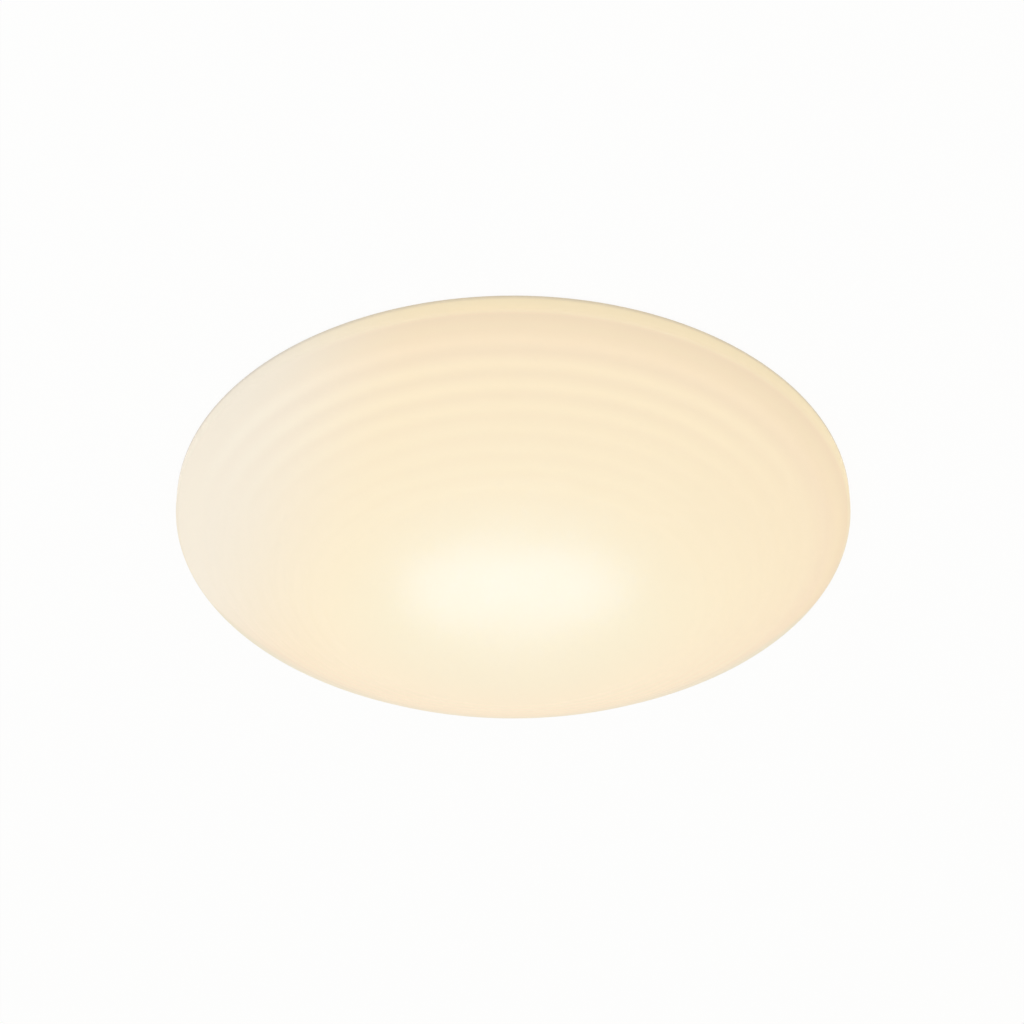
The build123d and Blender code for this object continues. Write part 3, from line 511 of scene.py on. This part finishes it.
# Ceiling gasket. A ring of closed-cell foam, cut from sheet and stuck to the pan's back, squeezed
# against the ceiling to keep insects and dust out. Its cut faces show small round cells.
CELL_SIZE_MM = 0.9
foam, tree, shader = new_finish("closed_cell_foam", 0.9)
place = add_node(tree, "ShaderNodeTexCoord")
cells = add_node(
    tree,
    "ShaderNodeTexVoronoi",
    {"Vector": place.outputs["Object"], "Scale": 1000 / CELL_SIZE_MM, "Randomness": 0.9},
)
tint = add_node(
    tree,
    "ShaderNodeMix",
    {0: cells.outputs["Distance"], 6: linear("#A9A9A4"), 7: linear("#C3C3BE")},
    data_type="RGBA",
)
skin = add_node(
    tree, "ShaderNodeBump", {"Height": cells.outputs["Distance"], "Strength": 0.6, "Distance": 0.0002}
)
tree.links.new(tint.outputs[2], shader.inputs["Base Color"])
tree.links.new(skin.outputs["Normal"], shader.inputs["Normal"])
dress(foam, "ceiling_gasket")

# Rim seal. A moulded ring of soft milky silicone, stretched over the pan's wall above the lugs.
# It is smooth with a slight drag grain, and the edge lets a little light in.
SILICONE_GRAIN_MM = 1.0


def mottle(tree, shader, spacing_mm, detail, deep, pale, bump=0.0, depth=0.0001, rough=None):
    """Cloudy colour between two shades, with a skin and a roughness that follow the same pattern."""
    cloud, tint = shades(tree, spacing_mm, detail, deep, pale)
    tree.links.new(tint, shader.inputs["Base Color"])
    if bump:
        skin = add_node(tree, "ShaderNodeBump", {"Height": cloud, "Strength": bump, "Distance": depth})
        tree.links.new(skin.outputs["Normal"], shader.inputs["Normal"])
    if rough:
        varied = add_node(
            tree, "ShaderNodeMapRange", {"Value": cloud, "To Min": rough[0], "To Max": rough[1]}
        )
        tree.links.new(varied.outputs["Result"], shader.inputs["Roughness"])


silicone, tree, shader = new_finish("milky_silicone", 0.38)
mottle(tree, shader, SILICONE_GRAIN_MM, 3.0, "#D9DAD6", "#E6E7E3", bump=0.1)
shader.inputs["Subsurface Weight"].default_value = 0.2
shader.inputs["Subsurface Scale"].default_value = 0.002
dress(silicone, "rim_seal")

# Cable grommet and tray grommet. Black rubber bushes with a flange on each side of the sheet, moulded
# and pushed in. The rubber is matt with a dusty bloom.
BLOOM_MM = 2.5
rubber, tree, shader = new_finish("moulded_black_rubber", 0.7)
mottle(tree, shader, BLOOM_MM, 5.0, "#1B1B1C", "#3A3936", bump=0.15, rough=(0.55, 0.85))
dress(rubber, "cable_grommet", "tray_grommet")

# Cable clamp. Saddle and bar are moulded in grey nylon with glass fibre, and two screws pull the bar
# up on the cable. Short pale fibres show in the matt skin, drawn coarser than the real ones.
FIBRE_MM = 0.5
FIBRE_STRETCH = (0.25, 1.0, 1.0)
FIBRE_SHOWS = (0.58, 0.72)
nylon, tree, shader = new_finish("glass_filled_nylon", 0.6)
place = add_node(tree, "ShaderNodeTexCoord")
drawn_out = add_node(
    tree, "ShaderNodeMapping", {"Vector": place.outputs["Object"], "Scale": FIBRE_STRETCH}
)
fibre = add_node(
    tree, "ShaderNodeTexNoise", {"Vector": drawn_out.outputs[0], "Scale": 1000 / FIBRE_MM, "Detail": 2.0}
)
streak = add_node(
    tree,
    "ShaderNodeMapRange",
    {"Value": fibre.outputs["Fac"], "From Min": FIBRE_SHOWS[0], "From Max": FIBRE_SHOWS[1]},
)
tint = add_node(
    tree,
    "ShaderNodeMix",
    {0: streak.outputs["Result"], 6: linear("#85878A"), 7: linear("#A2A4A6")},
    data_type="RGBA",
)
skin = add_node(
    tree, "ShaderNodeBump", {"Height": fibre.outputs["Fac"], "Strength": 0.12, "Distance": 0.0001}
)
tree.links.new(tint.outputs[2], shader.inputs["Base Color"])
tree.links.new(skin.outputs["Normal"], shader.inputs["Normal"])
dress(nylon, "clamp_saddle", "clamp_bar")

# Screws. Cold-headed steel with rolled threads and a cross recess, bright zinc plated, so they are
# cool grey with a cloudy shine. The earth screw is the same in brass. The pillars that carry the
# tray are turned from hexagon bar with the same zinc plate.
THREAD_PITCH = 0.0006
THREAD_DEPTH = 0.00022
SCREW_STEPS = 32
HEAD_HEIGHT = 0.0018
HEAD_EDGE = 0.0001
HEAD_STEPS = 5
SMALL_SHANK = 0.0015
SMALL_HEAD = 0.0028
EARTH_SHANK = 0.0020
EARTH_HEAD = 0.0038
RECESS_ACROSS = 1.15
RECESS_WIDTH = 0.3
RECESS_DEPTH = 0.6
RECESS_TAPER = 0.6
RECESS_START = 0.0002
TRAY_SCREW_CIRCLE = 0.076
BOARD_SCREW_CIRCLE = 0.047
ZINC_CLOUD_MM = 1.6
zinc, tree, shader = new_finish("bright_zinc_plate", 0.32, metallic=1.0)
mottle(tree, shader, ZINC_CLOUD_MM, 4.0, "#B4B8BC", "#D2D4D4", rough=(0.22, 0.42))
dress(zinc, "tray_pillars")
brass, tree, shader = new_finish("turned_brass", 0.3, metallic=1.0)
mottle(tree, shader, ZINC_CLOUD_MM, 4.0, "#B28F45", "#CFAE63", rough=(0.22, 0.45))


def screw_outline(shank, head, head_height, head_face, tip):
    """Section of a pan-head screw, head down, from its tip down to the crown of its head."""
    outline = [(0.0, tip), (shank - THREAD_DEPTH, tip)]
    turns = int((tip - head_face) / THREAD_PITCH)
    for turn in range(turns):
        crest = tip - THREAD_PITCH * (turn + 0.5)
        outline.append((shank, crest))
        outline.append((shank - THREAD_DEPTH, crest - THREAD_PITCH / 2))
    outline.append((shank - THREAD_DEPTH, head_face))
    outline += [(head - HEAD_EDGE, head_face), (head, head_face - HEAD_EDGE)]
    outline.append((head, head_face - head_height / 2))
    for step in range(1, HEAD_STEPS + 1):
        share = step / HEAD_STEPS
        swell = math.sqrt(1 - share**2)
        outline.append((head * (0.5 + 0.5 * swell), head_face - head_height * (0.5 + 0.5 * share)))
    outline.append((0.0, head_face - head_height))
    return outline


def cut_recess(piece, places, across, width, depth, face):
    """Cuts a cross recess, narrower at its bottom, into the heads at the given places."""
    points = []
    faces = []
    arm = across / 2
    slot = width / 2
    quarter = [(arm, -slot), (arm, slot), (slot, slot)]
    for x, y in places:
        first = len(points)
        for level, shrink in ((face - RECESS_START, 1.0), (face + depth, RECESS_TAPER)):
            for turn in range(4):
                for u, v in quarter:
                    for _ in range(turn):
                        u, v = -v, u
                    points.append((x + u * shrink, y + v * shrink, level))
        faces.append([first + i for i in reversed(range(12))])
        faces.append([first + 12 + i for i in range(12)])
        for side in range(12):
            after = (side + 1) % 12
            faces.append([first + side, first + after, first + 12 + after, first + 12 + side])
    cutter = add_piece("recess_cutter", points, faces)
    cut = piece.modifiers.new("recess", "BOOLEAN")
    cut.operation = "DIFFERENCE"
    cut.solver = "EXACT"
    cut.object = cutter
    seen = bpy.context.evaluated_depsgraph_get()
    finished = bpy.data.meshes.new_from_object(piece.evaluated_get(seen))
    piece.modifiers.clear()
    piece.data = finished
    finished.set_sharp_from_angle(angle=math.radians(SMOOTH_DEG))
    bpy.data.objects.remove(cutter)


def add_screws(node, places, shank, head, finish):
    """Detailed screws in the places of a node's plain ones."""
    low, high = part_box(node)
    face = low[2] + HEAD_HEIGHT
    outline = screw_outline(shank, head, HEAD_HEIGHT, face, high[2])
    one_points, one_faces = turned(outline, SCREW_STEPS)
    points = []
    faces = []
    for x, y in places:
        first = len(points)
        points += [(x + px, y + py, pz) for px, py, pz in one_points]
        faces += [[first + corner for corner in face_corners] for face_corners in one_faces]
    piece = add_piece(node + "_detailed", points, faces)
    depth = HEAD_HEIGHT * RECESS_DEPTH
    cut_recess(piece, places, head * RECESS_ACROSS, head * RECESS_WIDTH, depth, low[2])
    piece.data.materials.clear()
    piece.data.materials.append(finish)
    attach(piece, "fixture")
    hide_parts(node)


def round_places(count, circle, first_deg):
    """Places evenly spaced on a circle about the axis."""
    angles = [math.radians(first_deg + 360 / count * index) for index in range(count)]
    return [(circle * math.cos(angle), circle * math.sin(angle)) for angle in angles]


def end_places(node, inset):
    """Two places, one near each end of a node along X."""
    low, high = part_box(node)
    middle = (low[1] + high[1]) / 2
    return [(low[0] + inset, middle), (high[0] - inset, middle)]


for node in ("clamp_screws", "terminal_screws", "driver_screws"):
    add_screws(node, end_places(node, SMALL_HEAD), SMALL_SHANK, SMALL_HEAD, zinc)
add_screws("tray_screws", round_places(3, TRAY_SCREW_CIRCLE, 30), SMALL_SHANK, SMALL_HEAD, zinc)
board_places = round_places(4, BOARD_SCREW_CIRCLE, 45)
add_screws("led_board_screws", board_places, SMALL_SHANK, SMALL_HEAD, zinc)
earth_low, earth_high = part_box("earth_screw")
earth_place = [((earth_low[0] + earth_high[0]) / 2, (earth_low[1] + earth_high[1]) / 2)]
add_screws("earth_screw", earth_place, EARTH_SHANK, EARTH_HEAD, brass)

# Earth tag. A ring terminal stamped from copper strip, with its neck and barrel crimped on the earth
# lead, then tinned. The tin is silvery with a warm cast, and its fine rolling lines are drawn coarser
# than the real ones.
ROLLING_MM = 0.3
ROLLING_STRETCH = (1.0, 0.08, 1.0)
tinned, tree, shader = new_finish("tinned_copper_strip", 0.35, metallic=1.0)
place = add_node(tree, "ShaderNodeTexCoord")
drawn_out = add_node(
    tree, "ShaderNodeMapping", {"Vector": place.outputs["Object"], "Scale": ROLLING_STRETCH}
)
lines = add_node(
    tree, "ShaderNodeTexNoise", {"Vector": drawn_out.outputs[0], "Scale": 1000 / ROLLING_MM, "Detail": 2.0}
)
tint = add_node(
    tree,
    "ShaderNodeMix",
    {0: lines.outputs["Fac"], 6: linear("#B9B2A8"), 7: linear("#D6D0C8")},
    data_type="RGBA",
)
skin = add_node(
    tree, "ShaderNodeBump", {"Height": lines.outputs["Fac"], "Strength": 0.1, "Distance": 0.0001}
)
tree.links.new(tint.outputs[2], shader.inputs["Base Color"])
tree.links.new(skin.outputs["Normal"], shader.inputs["Normal"])
dress(tinned, "earth_tag")

# Terminal block. A one-piece moulding in light grey polycarbonate with a push-in pole for live,
# neutral and earth. The mould was spark eroded, so its skin is evenly matt with tiny pits, drawn
# coarser than the real ones.
SPARK_PIT_MM = 0.5
SPARK_PIT_DEPTH = 0.00008
block_finish, tree, shader = new_finish("light_grey_polycarbonate", 0.5)
mottle(tree, shader, SPARK_PIT_MM, 3.0, "#C9CCCC", "#D8DADA", bump=0.2, depth=SPARK_PIT_DEPTH)
dress(block_finish, "terminal_block")

# Terminal buttons. Orange nylon pushers, moulded, one at each pole, that open its spring clamp. The
# mould left a fine grain, drawn coarser than it is, and handling has polished it in places.
BUTTON_GRAIN_MM = 0.4
BUTTON_GRAIN_DEPTH = 0.00008
BUTTON_ROUGH = (0.35, 0.6)
orange, tree, shader = new_finish("moulded_orange_nylon", 0.5)
mottle(
    tree,
    shader,
    BUTTON_GRAIN_MM,
    3.0,
    "#D2661A",
    "#E98031",
    bump=0.15,
    depth=BUTTON_GRAIN_DEPTH,
    rough=BUTTON_ROUGH,
)
dress(orange, "terminal_button_live", "terminal_button_neutral", "terminal_button_earth")

# Live, neutral and lamp leads. Copper wire in coloured PVC sleeve, extruded, so it is smooth and
# slightly waxy with small changes of shade.
SLEEVE_SHADE_MM = 3.0
SLEEVES = [
    ("brown_pvc_sleeve", "live_lead", "#5A3A26", "#6E4A33"),
    ("blue_pvc_sleeve", "neutral_lead", "#1F4FA0", "#2F63B5"),
    ("red_pvc_sleeve", "led_lead_positive", "#A51E1C", "#BE2E28"),
    ("black_pvc_sleeve", "led_lead_negative", "#1A1A1B", "#2B2B2C"),
]
for sleeve_name, node, deep, bright in SLEEVES:
    sleeve, tree, shader = new_finish(sleeve_name, 0.38)
    mottle(tree, shader, SLEEVE_SHADE_MM, 4.0, deep, bright, bump=0.1)
    dress(sleeve, node)

# Earth lead. Copper wire in the same extruded PVC sleeve, green with a broad yellow stripe along
# each side, so that nobody takes it for another lead.
STRIPE_FACING = 0.72
earth_sleeve, tree, shader = new_finish("green_and_yellow_pvc_sleeve", 0.38)
place = add_node(tree, "ShaderNodeTexCoord")
facing = add_node(tree, "ShaderNodeSeparateXYZ", {"Vector": place.outputs["Normal"]})
turned_out = add_node(tree, "ShaderNodeMath", {0: facing.outputs["X"]}, operation="ABSOLUTE")
stripe = add_node(
    tree, "ShaderNodeMath", {0: turned_out.outputs[0], 1: STRIPE_FACING}, operation="GREATER_THAN"
)
green = shades(tree, SLEEVE_SHADE_MM, 4.0, "#1E7A3A", "#2C8F49")[1]
tint = add_node(
    tree, "ShaderNodeMix", {0: stripe.outputs[0], 6: green, 7: linear("#E3CF2B")}, data_type="RGBA"
)
tree.links.new(tint.outputs[2], shader.inputs["Base Color"])
dress(earth_sleeve, "earth_lead")

# Driver case. Base and cover are moulded in white polycarbonate and snap together. Both are a shade
# warmer than the steel round them, with the same fine matt skin, its grain drawn coarser than it is.
CASE_GRAIN_MM = 0.7
case, tree, shader = new_finish("moulded_white_polycarbonate", 0.5)
mottle(tree, shader, CASE_GRAIN_MM, 3.0, "#DDDBD3", "#E9E7E0", bump=0.2)
dress(case, "driver_base", "driver_cover")

# Driver circuit board. Glass-fibre laminate under green solder mask, with square copper lands that
# show through it and tinned pads in their middles.
LAND_PITCH_MM = 5.0
LAND_SHARE = 0.3
PAD_SHARE = 0.12
laminate, tree, shader = new_finish("green_solder_mask", 0.35)
place = add_node(tree, "ShaderNodeTexCoord")
lands = add_node(
    tree,
    "ShaderNodeTexVoronoi",
    {"Vector": place.outputs["Object"], "Scale": 1000 / LAND_PITCH_MM, "Randomness": 0.6},
    distance="CHEBYCHEV",
)
land, pad = [
    add_node(tree, "ShaderNodeMath", {0: lands.outputs["Distance"], 1: share}, operation="LESS_THAN")
    for share in (LAND_SHARE, PAD_SHARE)
]
masked = add_node(
    tree,
    "ShaderNodeMix",
    {0: land.outputs[0], 6: linear("#1B5B33"), 7: linear("#2C7646")},
    data_type="RGBA",
)
tint = add_node(
    tree, "ShaderNodeMix", {0: pad.outputs[0], 6: masked.outputs[2], 7: linear("#B9B7AE")}, data_type="RGBA"
)
tree.links.new(tint.outputs[2], shader.inputs["Base Color"])
dress(laminate, "driver_board")

# Driver transformer. A black ferrite core, pressed and fired, round a winding wrapped in yellow
# polyester tape. The core is dull, with specks drawn coarser than they are, and the tape shows the
# edge of each turn.
WINDING_HALF = 0.0066
TAPE_STEP_MM = 1.5
WAVES_PER_TEXTURE_UNIT = 3.2
FERRITE_SPECK_MM = 0.55
ferrite, tree, shader = new_finish("ferrite_and_polyester_tape", 0.55)
low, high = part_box("driver_transformer")
place = add_node(tree, "ShaderNodeTexCoord")
apart = add_node(tree, "ShaderNodeSeparateXYZ", {"Vector": place.outputs["Object"]})
aside = add_node(
    tree, "ShaderNodeMath", {0: apart.outputs["X"], 1: (low[0] + high[0]) / 2}, operation="SUBTRACT"
)
outward = add_node(tree, "ShaderNodeMath", {0: aside.outputs[0]}, operation="ABSOLUTE")
wound = add_node(tree, "ShaderNodeMath", {0: outward.outputs[0], 1: WINDING_HALF}, operation="LESS_THAN")
edges = add_node(
    tree,
    "ShaderNodeTexWave",
    {
        "Vector": place.outputs["Object"],
        "Scale": 1000 / TAPE_STEP_MM / WAVES_PER_TEXTURE_UNIT,
        "Distortion": 0.4,
    },
    bands_direction="X",
)
tape = add_node(
    tree,
    "ShaderNodeMix",
    {0: edges.outputs["Fac"], 6: linear("#CFA92A"), 7: linear("#E2C148")},
    data_type="RGBA",
)
speck, stone = shades(tree, FERRITE_SPECK_MM, 4.0, "#232324", "#3E3D3B")
tint = add_node(
    tree, "ShaderNodeMix", {0: wound.outputs[0], 6: stone, 7: tape.outputs[2]}, data_type="RGBA"
)
skin = add_node(tree, "ShaderNodeBump", {"Height": speck, "Strength": 0.25, "Distance": 0.0001})
tree.links.new(tint.outputs[2], shader.inputs["Base Color"])
tree.links.new(skin.outputs["Normal"], shader.inputs["Normal"])
dress(ferrite, "driver_transformer")

# Driver capacitors. Aluminium cans in a shrunk dark sleeve that leaves the end of the can bare, with
# a pale stripe down the side of the negative lead.
BARE_END_FACING = -0.6
STRIPE_SIDE_FACING = 0.85
SCUFF_MM = 1.4
sleeved, tree, shader = new_finish("shrink_sleeved_aluminium", 0.35)
place = add_node(tree, "ShaderNodeTexCoord")
facing = add_node(tree, "ShaderNodeSeparateXYZ", {"Vector": place.outputs["Normal"]})
down = add_node(tree, "ShaderNodeMath", {0: facing.outputs["Z"], 1: BARE_END_FACING}, operation="LESS_THAN")
stripe = add_node(
    tree, "ShaderNodeMath", {0: facing.outputs["X"], 1: STRIPE_SIDE_FACING}, operation="GREATER_THAN"
)
sleeve_tint = shades(tree, SCUFF_MM, 4.0, "#1C2430", "#2C3644")[1]
striped = add_node(
    tree, "ShaderNodeMix", {0: stripe.outputs[0], 6: sleeve_tint, 7: linear("#B8BCC2")}, data_type="RGBA"
)
tint = add_node(
    tree, "ShaderNodeMix", {0: down.outputs[0], 6: striped.outputs[2], 7: linear("#C4C6C8")}, data_type="RGBA"
)
tree.links.new(tint.outputs[2], shader.inputs["Base Color"])
tree.links.new(down.outputs[0], shader.inputs["Metallic"])
dress(sleeved, "driver_capacitors")

# Thermal pad. Soft grey silicone sheet, filled with ceramic powder, that carries the light board's
# heat into the tray. It is dull, with specks drawn coarser than the grains of the powder.
FILLER_MM = 0.5
pad_finish, tree, shader = new_finish("filled_grey_silicone", 0.75)
mottle(tree, shader, FILLER_MM, 5.0, "#7C8086", "#9DA0A4", bump=0.2)
dress(pad_finish, "thermal_pad")

# Light board. A round aluminium-backed board under white solder mask, screwed through the pad to the
# tray. The light of its chips floods the mask in a patch that is broad from side to side, and is set
# cool, because it reaches the eye through the dome's warm glow.
BOARD_RADIUS = 0.068
FLOOD_INNER = 0.066
FLOOD_EDGE_SHARE = 0.1
FLOOD_SQUEEZE = (1.0, 1.8, 1.0)
BOARD_LIGHT = 13.5
MASK_GRAIN_MM = 1.1
board_finish, tree, shader = new_finish("lit_white_solder_mask", 0.35)
place = add_node(tree, "ShaderNodeTexCoord")
apart = add_node(tree, "ShaderNodeSeparateXYZ", {"Vector": place.outputs["Object"]})
flat = add_node(tree, "ShaderNodeCombineXYZ", {"X": apart.outputs["X"], "Y": apart.outputs["Y"]})
squeezed = add_node(
    tree, "ShaderNodeVectorMath", {0: flat.outputs[0], 1: FLOOD_SQUEEZE}, operation="MULTIPLY"
)
reach = add_node(tree, "ShaderNodeVectorMath", {0: squeezed.outputs[0]}, operation="LENGTH")
fade = add_node(
    tree,
    "ShaderNodeMapRange",
    {
        "Value": reach.outputs["Value"],
        "From Min": FLOOD_INNER,
        "From Max": BOARD_RADIUS,
        "To Min": 1.0,
        "To Max": FLOOD_EDGE_SHARE,
    },
    interpolation_type="SMOOTHSTEP",
)
flood = add_node(
    tree, "ShaderNodeVectorMath", {0: linear("#95BFFF")[:3], 3: fade.outputs["Result"]}, operation="SCALE"
)
mottle(tree, shader, MASK_GRAIN_MM, 3.0, "#ECECE7", "#F5F5F1")
tree.links.new(flood.outputs[0], shader.inputs["Emission Color"])
shader.inputs["Emission Strength"].default_value = BOARD_LIGHT
dress(board_finish, "led_board")

# Light-emitting chips. White ceramic cases, fired, each with a domed window of yellow phosphor cast in
# its face, where the light comes from. Both are faintly grainy, drawn coarser than they are.
CHIP_FACE = -0.0349
CHIP_RINGS = 3
CHIPS_PER_RING_STEP = 6
CHIP_RING_STEP = 0.019
WINDOW_LENGTH = 0.0027
WINDOW_WIDTH = 0.0020
WINDOW_SWELL = 0.00008
WINDOW_CORNERS = 16
WINDOW_SQUARENESS = 0.5
WINDOW_LEVELS = ((0.0, 1.0), (0.7, 0.75), (1.0, 0.4))
CERAMIC_GRAIN_MM = 0.4
PHOSPHOR_GRAIN_MM = 0.25
ceramic, tree, shader = new_finish("white_chip_ceramic_painted_glow", 0.4)
mottle(tree, shader, CERAMIC_GRAIN_MM, 2.0, "#E9E6DA", "#F4F2EA")
# Painted glow: the ceramic cases glow faintly warm of their own, standing in for the light of their windows
# falling on them.
shader.inputs["Emission Color"].default_value = linear("#FFF3DC")
shader.inputs["Emission Strength"].default_value = 1.0
dress(ceramic, "led_chips")
phosphor, tree, shader = new_finish("yellow_phosphor", 0.45)
mottle(tree, shader, PHOSPHOR_GRAIN_MM, 2.0, "#E8C23A", "#F3D765")
shader.inputs["Emission Color"].default_value = linear("#FFEFC8")
shader.inputs["Emission Strength"].default_value = 2.0


def add_window(points, faces, radius, turn):
    """Adds the domed window of one chip, at a radius and turn about the upright axis."""
    first = len(points)
    for swell, shrink in WINDOW_LEVELS:
        for corner in range(WINDOW_CORNERS):
            around = 2 * math.pi * corner / WINDOW_CORNERS
            u, v = [
                abs(part) ** WINDOW_SQUARENESS * math.copysign(size / 2 * shrink, part)
                for part, size in ((math.cos(around), WINDOW_LENGTH), (math.sin(around), WINDOW_WIDTH))
            ]
            x = radius + u
            spot = (x * math.cos(turn) - v * math.sin(turn), x * math.sin(turn) + v * math.cos(turn))
            points.append((*spot, CHIP_FACE - WINDOW_SWELL * swell))
    for low_ring in (first, first + WINDOW_CORNERS):
        high_ring = low_ring + WINDOW_CORNERS
        for corner in range(WINDOW_CORNERS):
            after = (corner + 1) % WINDOW_CORNERS
            faces.append([low_ring + after, low_ring + corner, high_ring + corner, high_ring + after])
    last = first + 2 * WINDOW_CORNERS
    faces.append([last + corner for corner in reversed(range(WINDOW_CORNERS))])
    faces.append([first + corner for corner in range(WINDOW_CORNERS)])


points = []
faces = []
for ring in range(1, CHIP_RINGS + 1):
    count = CHIPS_PER_RING_STEP * ring
    for index in range(count):
        add_window(points, faces, CHIP_RING_STEP * ring, 2 * math.pi / count * (index + 0.5))
windows = add_piece("chip_windows", points, faces)
windows.data.materials.append(phosphor)
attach(windows, "fixture")

# Lamp socket and plug. Ivory nylon housings for the two lamp leads, moulded with thin walls, so
# they are slightly waxy and uneven in shade.
WAX_MM = 1.2
ivory, tree, shader = new_finish("moulded_ivory_nylon", 0.45)
mottle(tree, shader, WAX_MM, 3.0, "#E2DCC6", "#EFEAD8", bump=0.1)
dress(ivory, "led_socket", "led_plug")

# Ceiling that the light hangs on: matt white paint, seen only from below, with the cut-out over the
# pan that leaves the back of the light open to view from above.
CEILING_LEVEL = 0.0005
CEILING_REACH = 6.0
CUT_OUT_RADIUS = 0.19
CUT_OUT_STEPS = 64
BACKGROUND_SHARE = 0.94
BACKGROUND_WHITE = (1.0, 1.0, 0.995, 1.0)
points = []
for step in range(CUT_OUT_STEPS):
    turn = 2 * math.pi * step / CUT_OUT_STEPS
    across, along = math.cos(turn), math.sin(turn)
    edge = CEILING_REACH / max(abs(across), abs(along))
    points.append((CUT_OUT_RADIUS * across, CUT_OUT_RADIUS * along, CEILING_LEVEL))
    points.append((edge * across, edge * along, CEILING_LEVEL))
faces = []
for step in range(CUT_OUT_STEPS):
    a = 2 * step
    b = 2 * ((step + 1) % CUT_OUT_STEPS)
    faces.append([a, b, b + 1, a + 1])


def seen_rays(tree):
    """A value that is 1 for what the camera sees, also by reflection or through the dome."""
    path = add_node(tree, "ShaderNodeLightPath")
    bent = add_node(
        tree,
        "ShaderNodeMath",
        {0: path.outputs["Is Glossy Ray"], 1: path.outputs["Is Transmission Ray"]},
        operation="MAXIMUM",
    )
    seen = add_node(
        tree, "ShaderNodeMath", {0: path.outputs["Is Camera Ray"], 1: bent.outputs[0]}, operation="MAXIMUM"
    )
    return seen.outputs[0]


ceiling = add_piece("ceiling", points, faces)
paint = bpy.data.materials.new("white_ceiling_paint")
paint.use_nodes = True
tree = paint.node_tree
tree.nodes.clear()
matt = add_node(tree, "ShaderNodeBsdfDiffuse", {"Color": linear("#FDFCFA")})
white = add_node(tree, "ShaderNodeEmission", {"Color": BACKGROUND_WHITE, "Strength": 1.0})
whitened = add_node(
    tree, "ShaderNodeMath", {0: seen_rays(tree), 1: BACKGROUND_SHARE}, operation="MULTIPLY"
)
mixed = add_node(
    tree, "ShaderNodeMixShader", {0: whitened.outputs[0], 1: matt.outputs[0], 2: white.outputs[0]}
)
clear = add_node(tree, "ShaderNodeBsdfTransparent")
side = add_node(tree, "ShaderNodeNewGeometry")
one_way = add_node(
    tree, "ShaderNodeMixShader", {0: side.outputs["Backfacing"], 1: mixed.outputs[0], 2: clear.outputs[0]}
)
add_node(tree, "ShaderNodeOutputMaterial", {"Surface": one_way.outputs[0]})
ceiling.data.materials.append(paint)

# Room light: even pale surroundings, a broad cool lamp low at the left, towards the window, and a
# weak warm lamp low at the right.
ROOM_LIGHT = 0.72
LEFT_LAMP = (-1.1, -0.6, -1.2)
RIGHT_LAMP = (1.1, -0.4, -1.2)
world = bpy.data.worlds.new("pale_room")
bpy.context.scene.world = world
world.use_nodes = True
tree = world.node_tree
level = add_node(
    tree, "ShaderNodeMapRange", {"Value": seen_rays(tree), "To Min": ROOM_LIGHT, "To Max": 1.0}
)
tree.links.new(level.outputs["Result"], tree.nodes["Background"].inputs["Strength"])
tree.nodes["Background"].inputs["Color"].default_value = linear("#FFFFFF")


def soft_lamp(name, place, across, power, colour):
    """A round soft lamp aimed at the light."""
    lamp = bpy.data.lights.new(name, "AREA")
    lamp.shape = "DISK"
    lamp.size = across
    lamp.energy = power
    lamp.color = linear(colour)[:3]
    holder = bpy.data.objects.new(name, lamp)
    bpy.context.scene.collection.objects.link(holder)
    holder.location = place
    holder.rotation_euler = (-holder.location).to_track_quat("-Z", "Y").to_euler()


soft_lamp("left_lamp", LEFT_LAMP, 0.9, 2.6, "#D8E4FF")
soft_lamp("right_lamp", RIGHT_LAMP, 1.2, 1.0, "#FFEFC8")

# Camera: below the ceiling in front of the light, looking up at it, as in the photograph. The shift
# puts the centre of the ceiling face on the pixel where the photograph has it.
DISTANCE_IN_RADII = 5
CAMERA_DISTANCE = DISTANCE_IN_RADII * DOME_RADIUS
CAMERA_RISE_DEG = 37.2
PIXELS_PER_RADIUS = 332.0
ORIGIN_PIXEL = (513.2, 532.8)
PHOTO_PIXELS = 1024
lens = bpy.data.cameras.new("camera")
lens.sensor_width = 36.0
lens.lens = PIXELS_PER_RADIUS * DISTANCE_IN_RADII / PHOTO_PIXELS * lens.sensor_width
lens.shift_x = (PHOTO_PIXELS / 2 - ORIGIN_PIXEL[0]) / PHOTO_PIXELS
lens.shift_y = (ORIGIN_PIXEL[1] - PHOTO_PIXELS / 2) / PHOTO_PIXELS
camera = bpy.data.objects.new("camera", lens)
bpy.context.scene.collection.objects.link(camera)
rise = math.radians(CAMERA_RISE_DEG)
camera.location = (0, -CAMERA_DISTANCE * math.cos(rise), -CAMERA_DISTANCE * math.sin(rise))
camera.rotation_euler = (math.pi / 2 + rise, 0, 0)
bpy.context.scene.camera = camera
bpy.context.scene.view_settings.view_transform = "Standard"
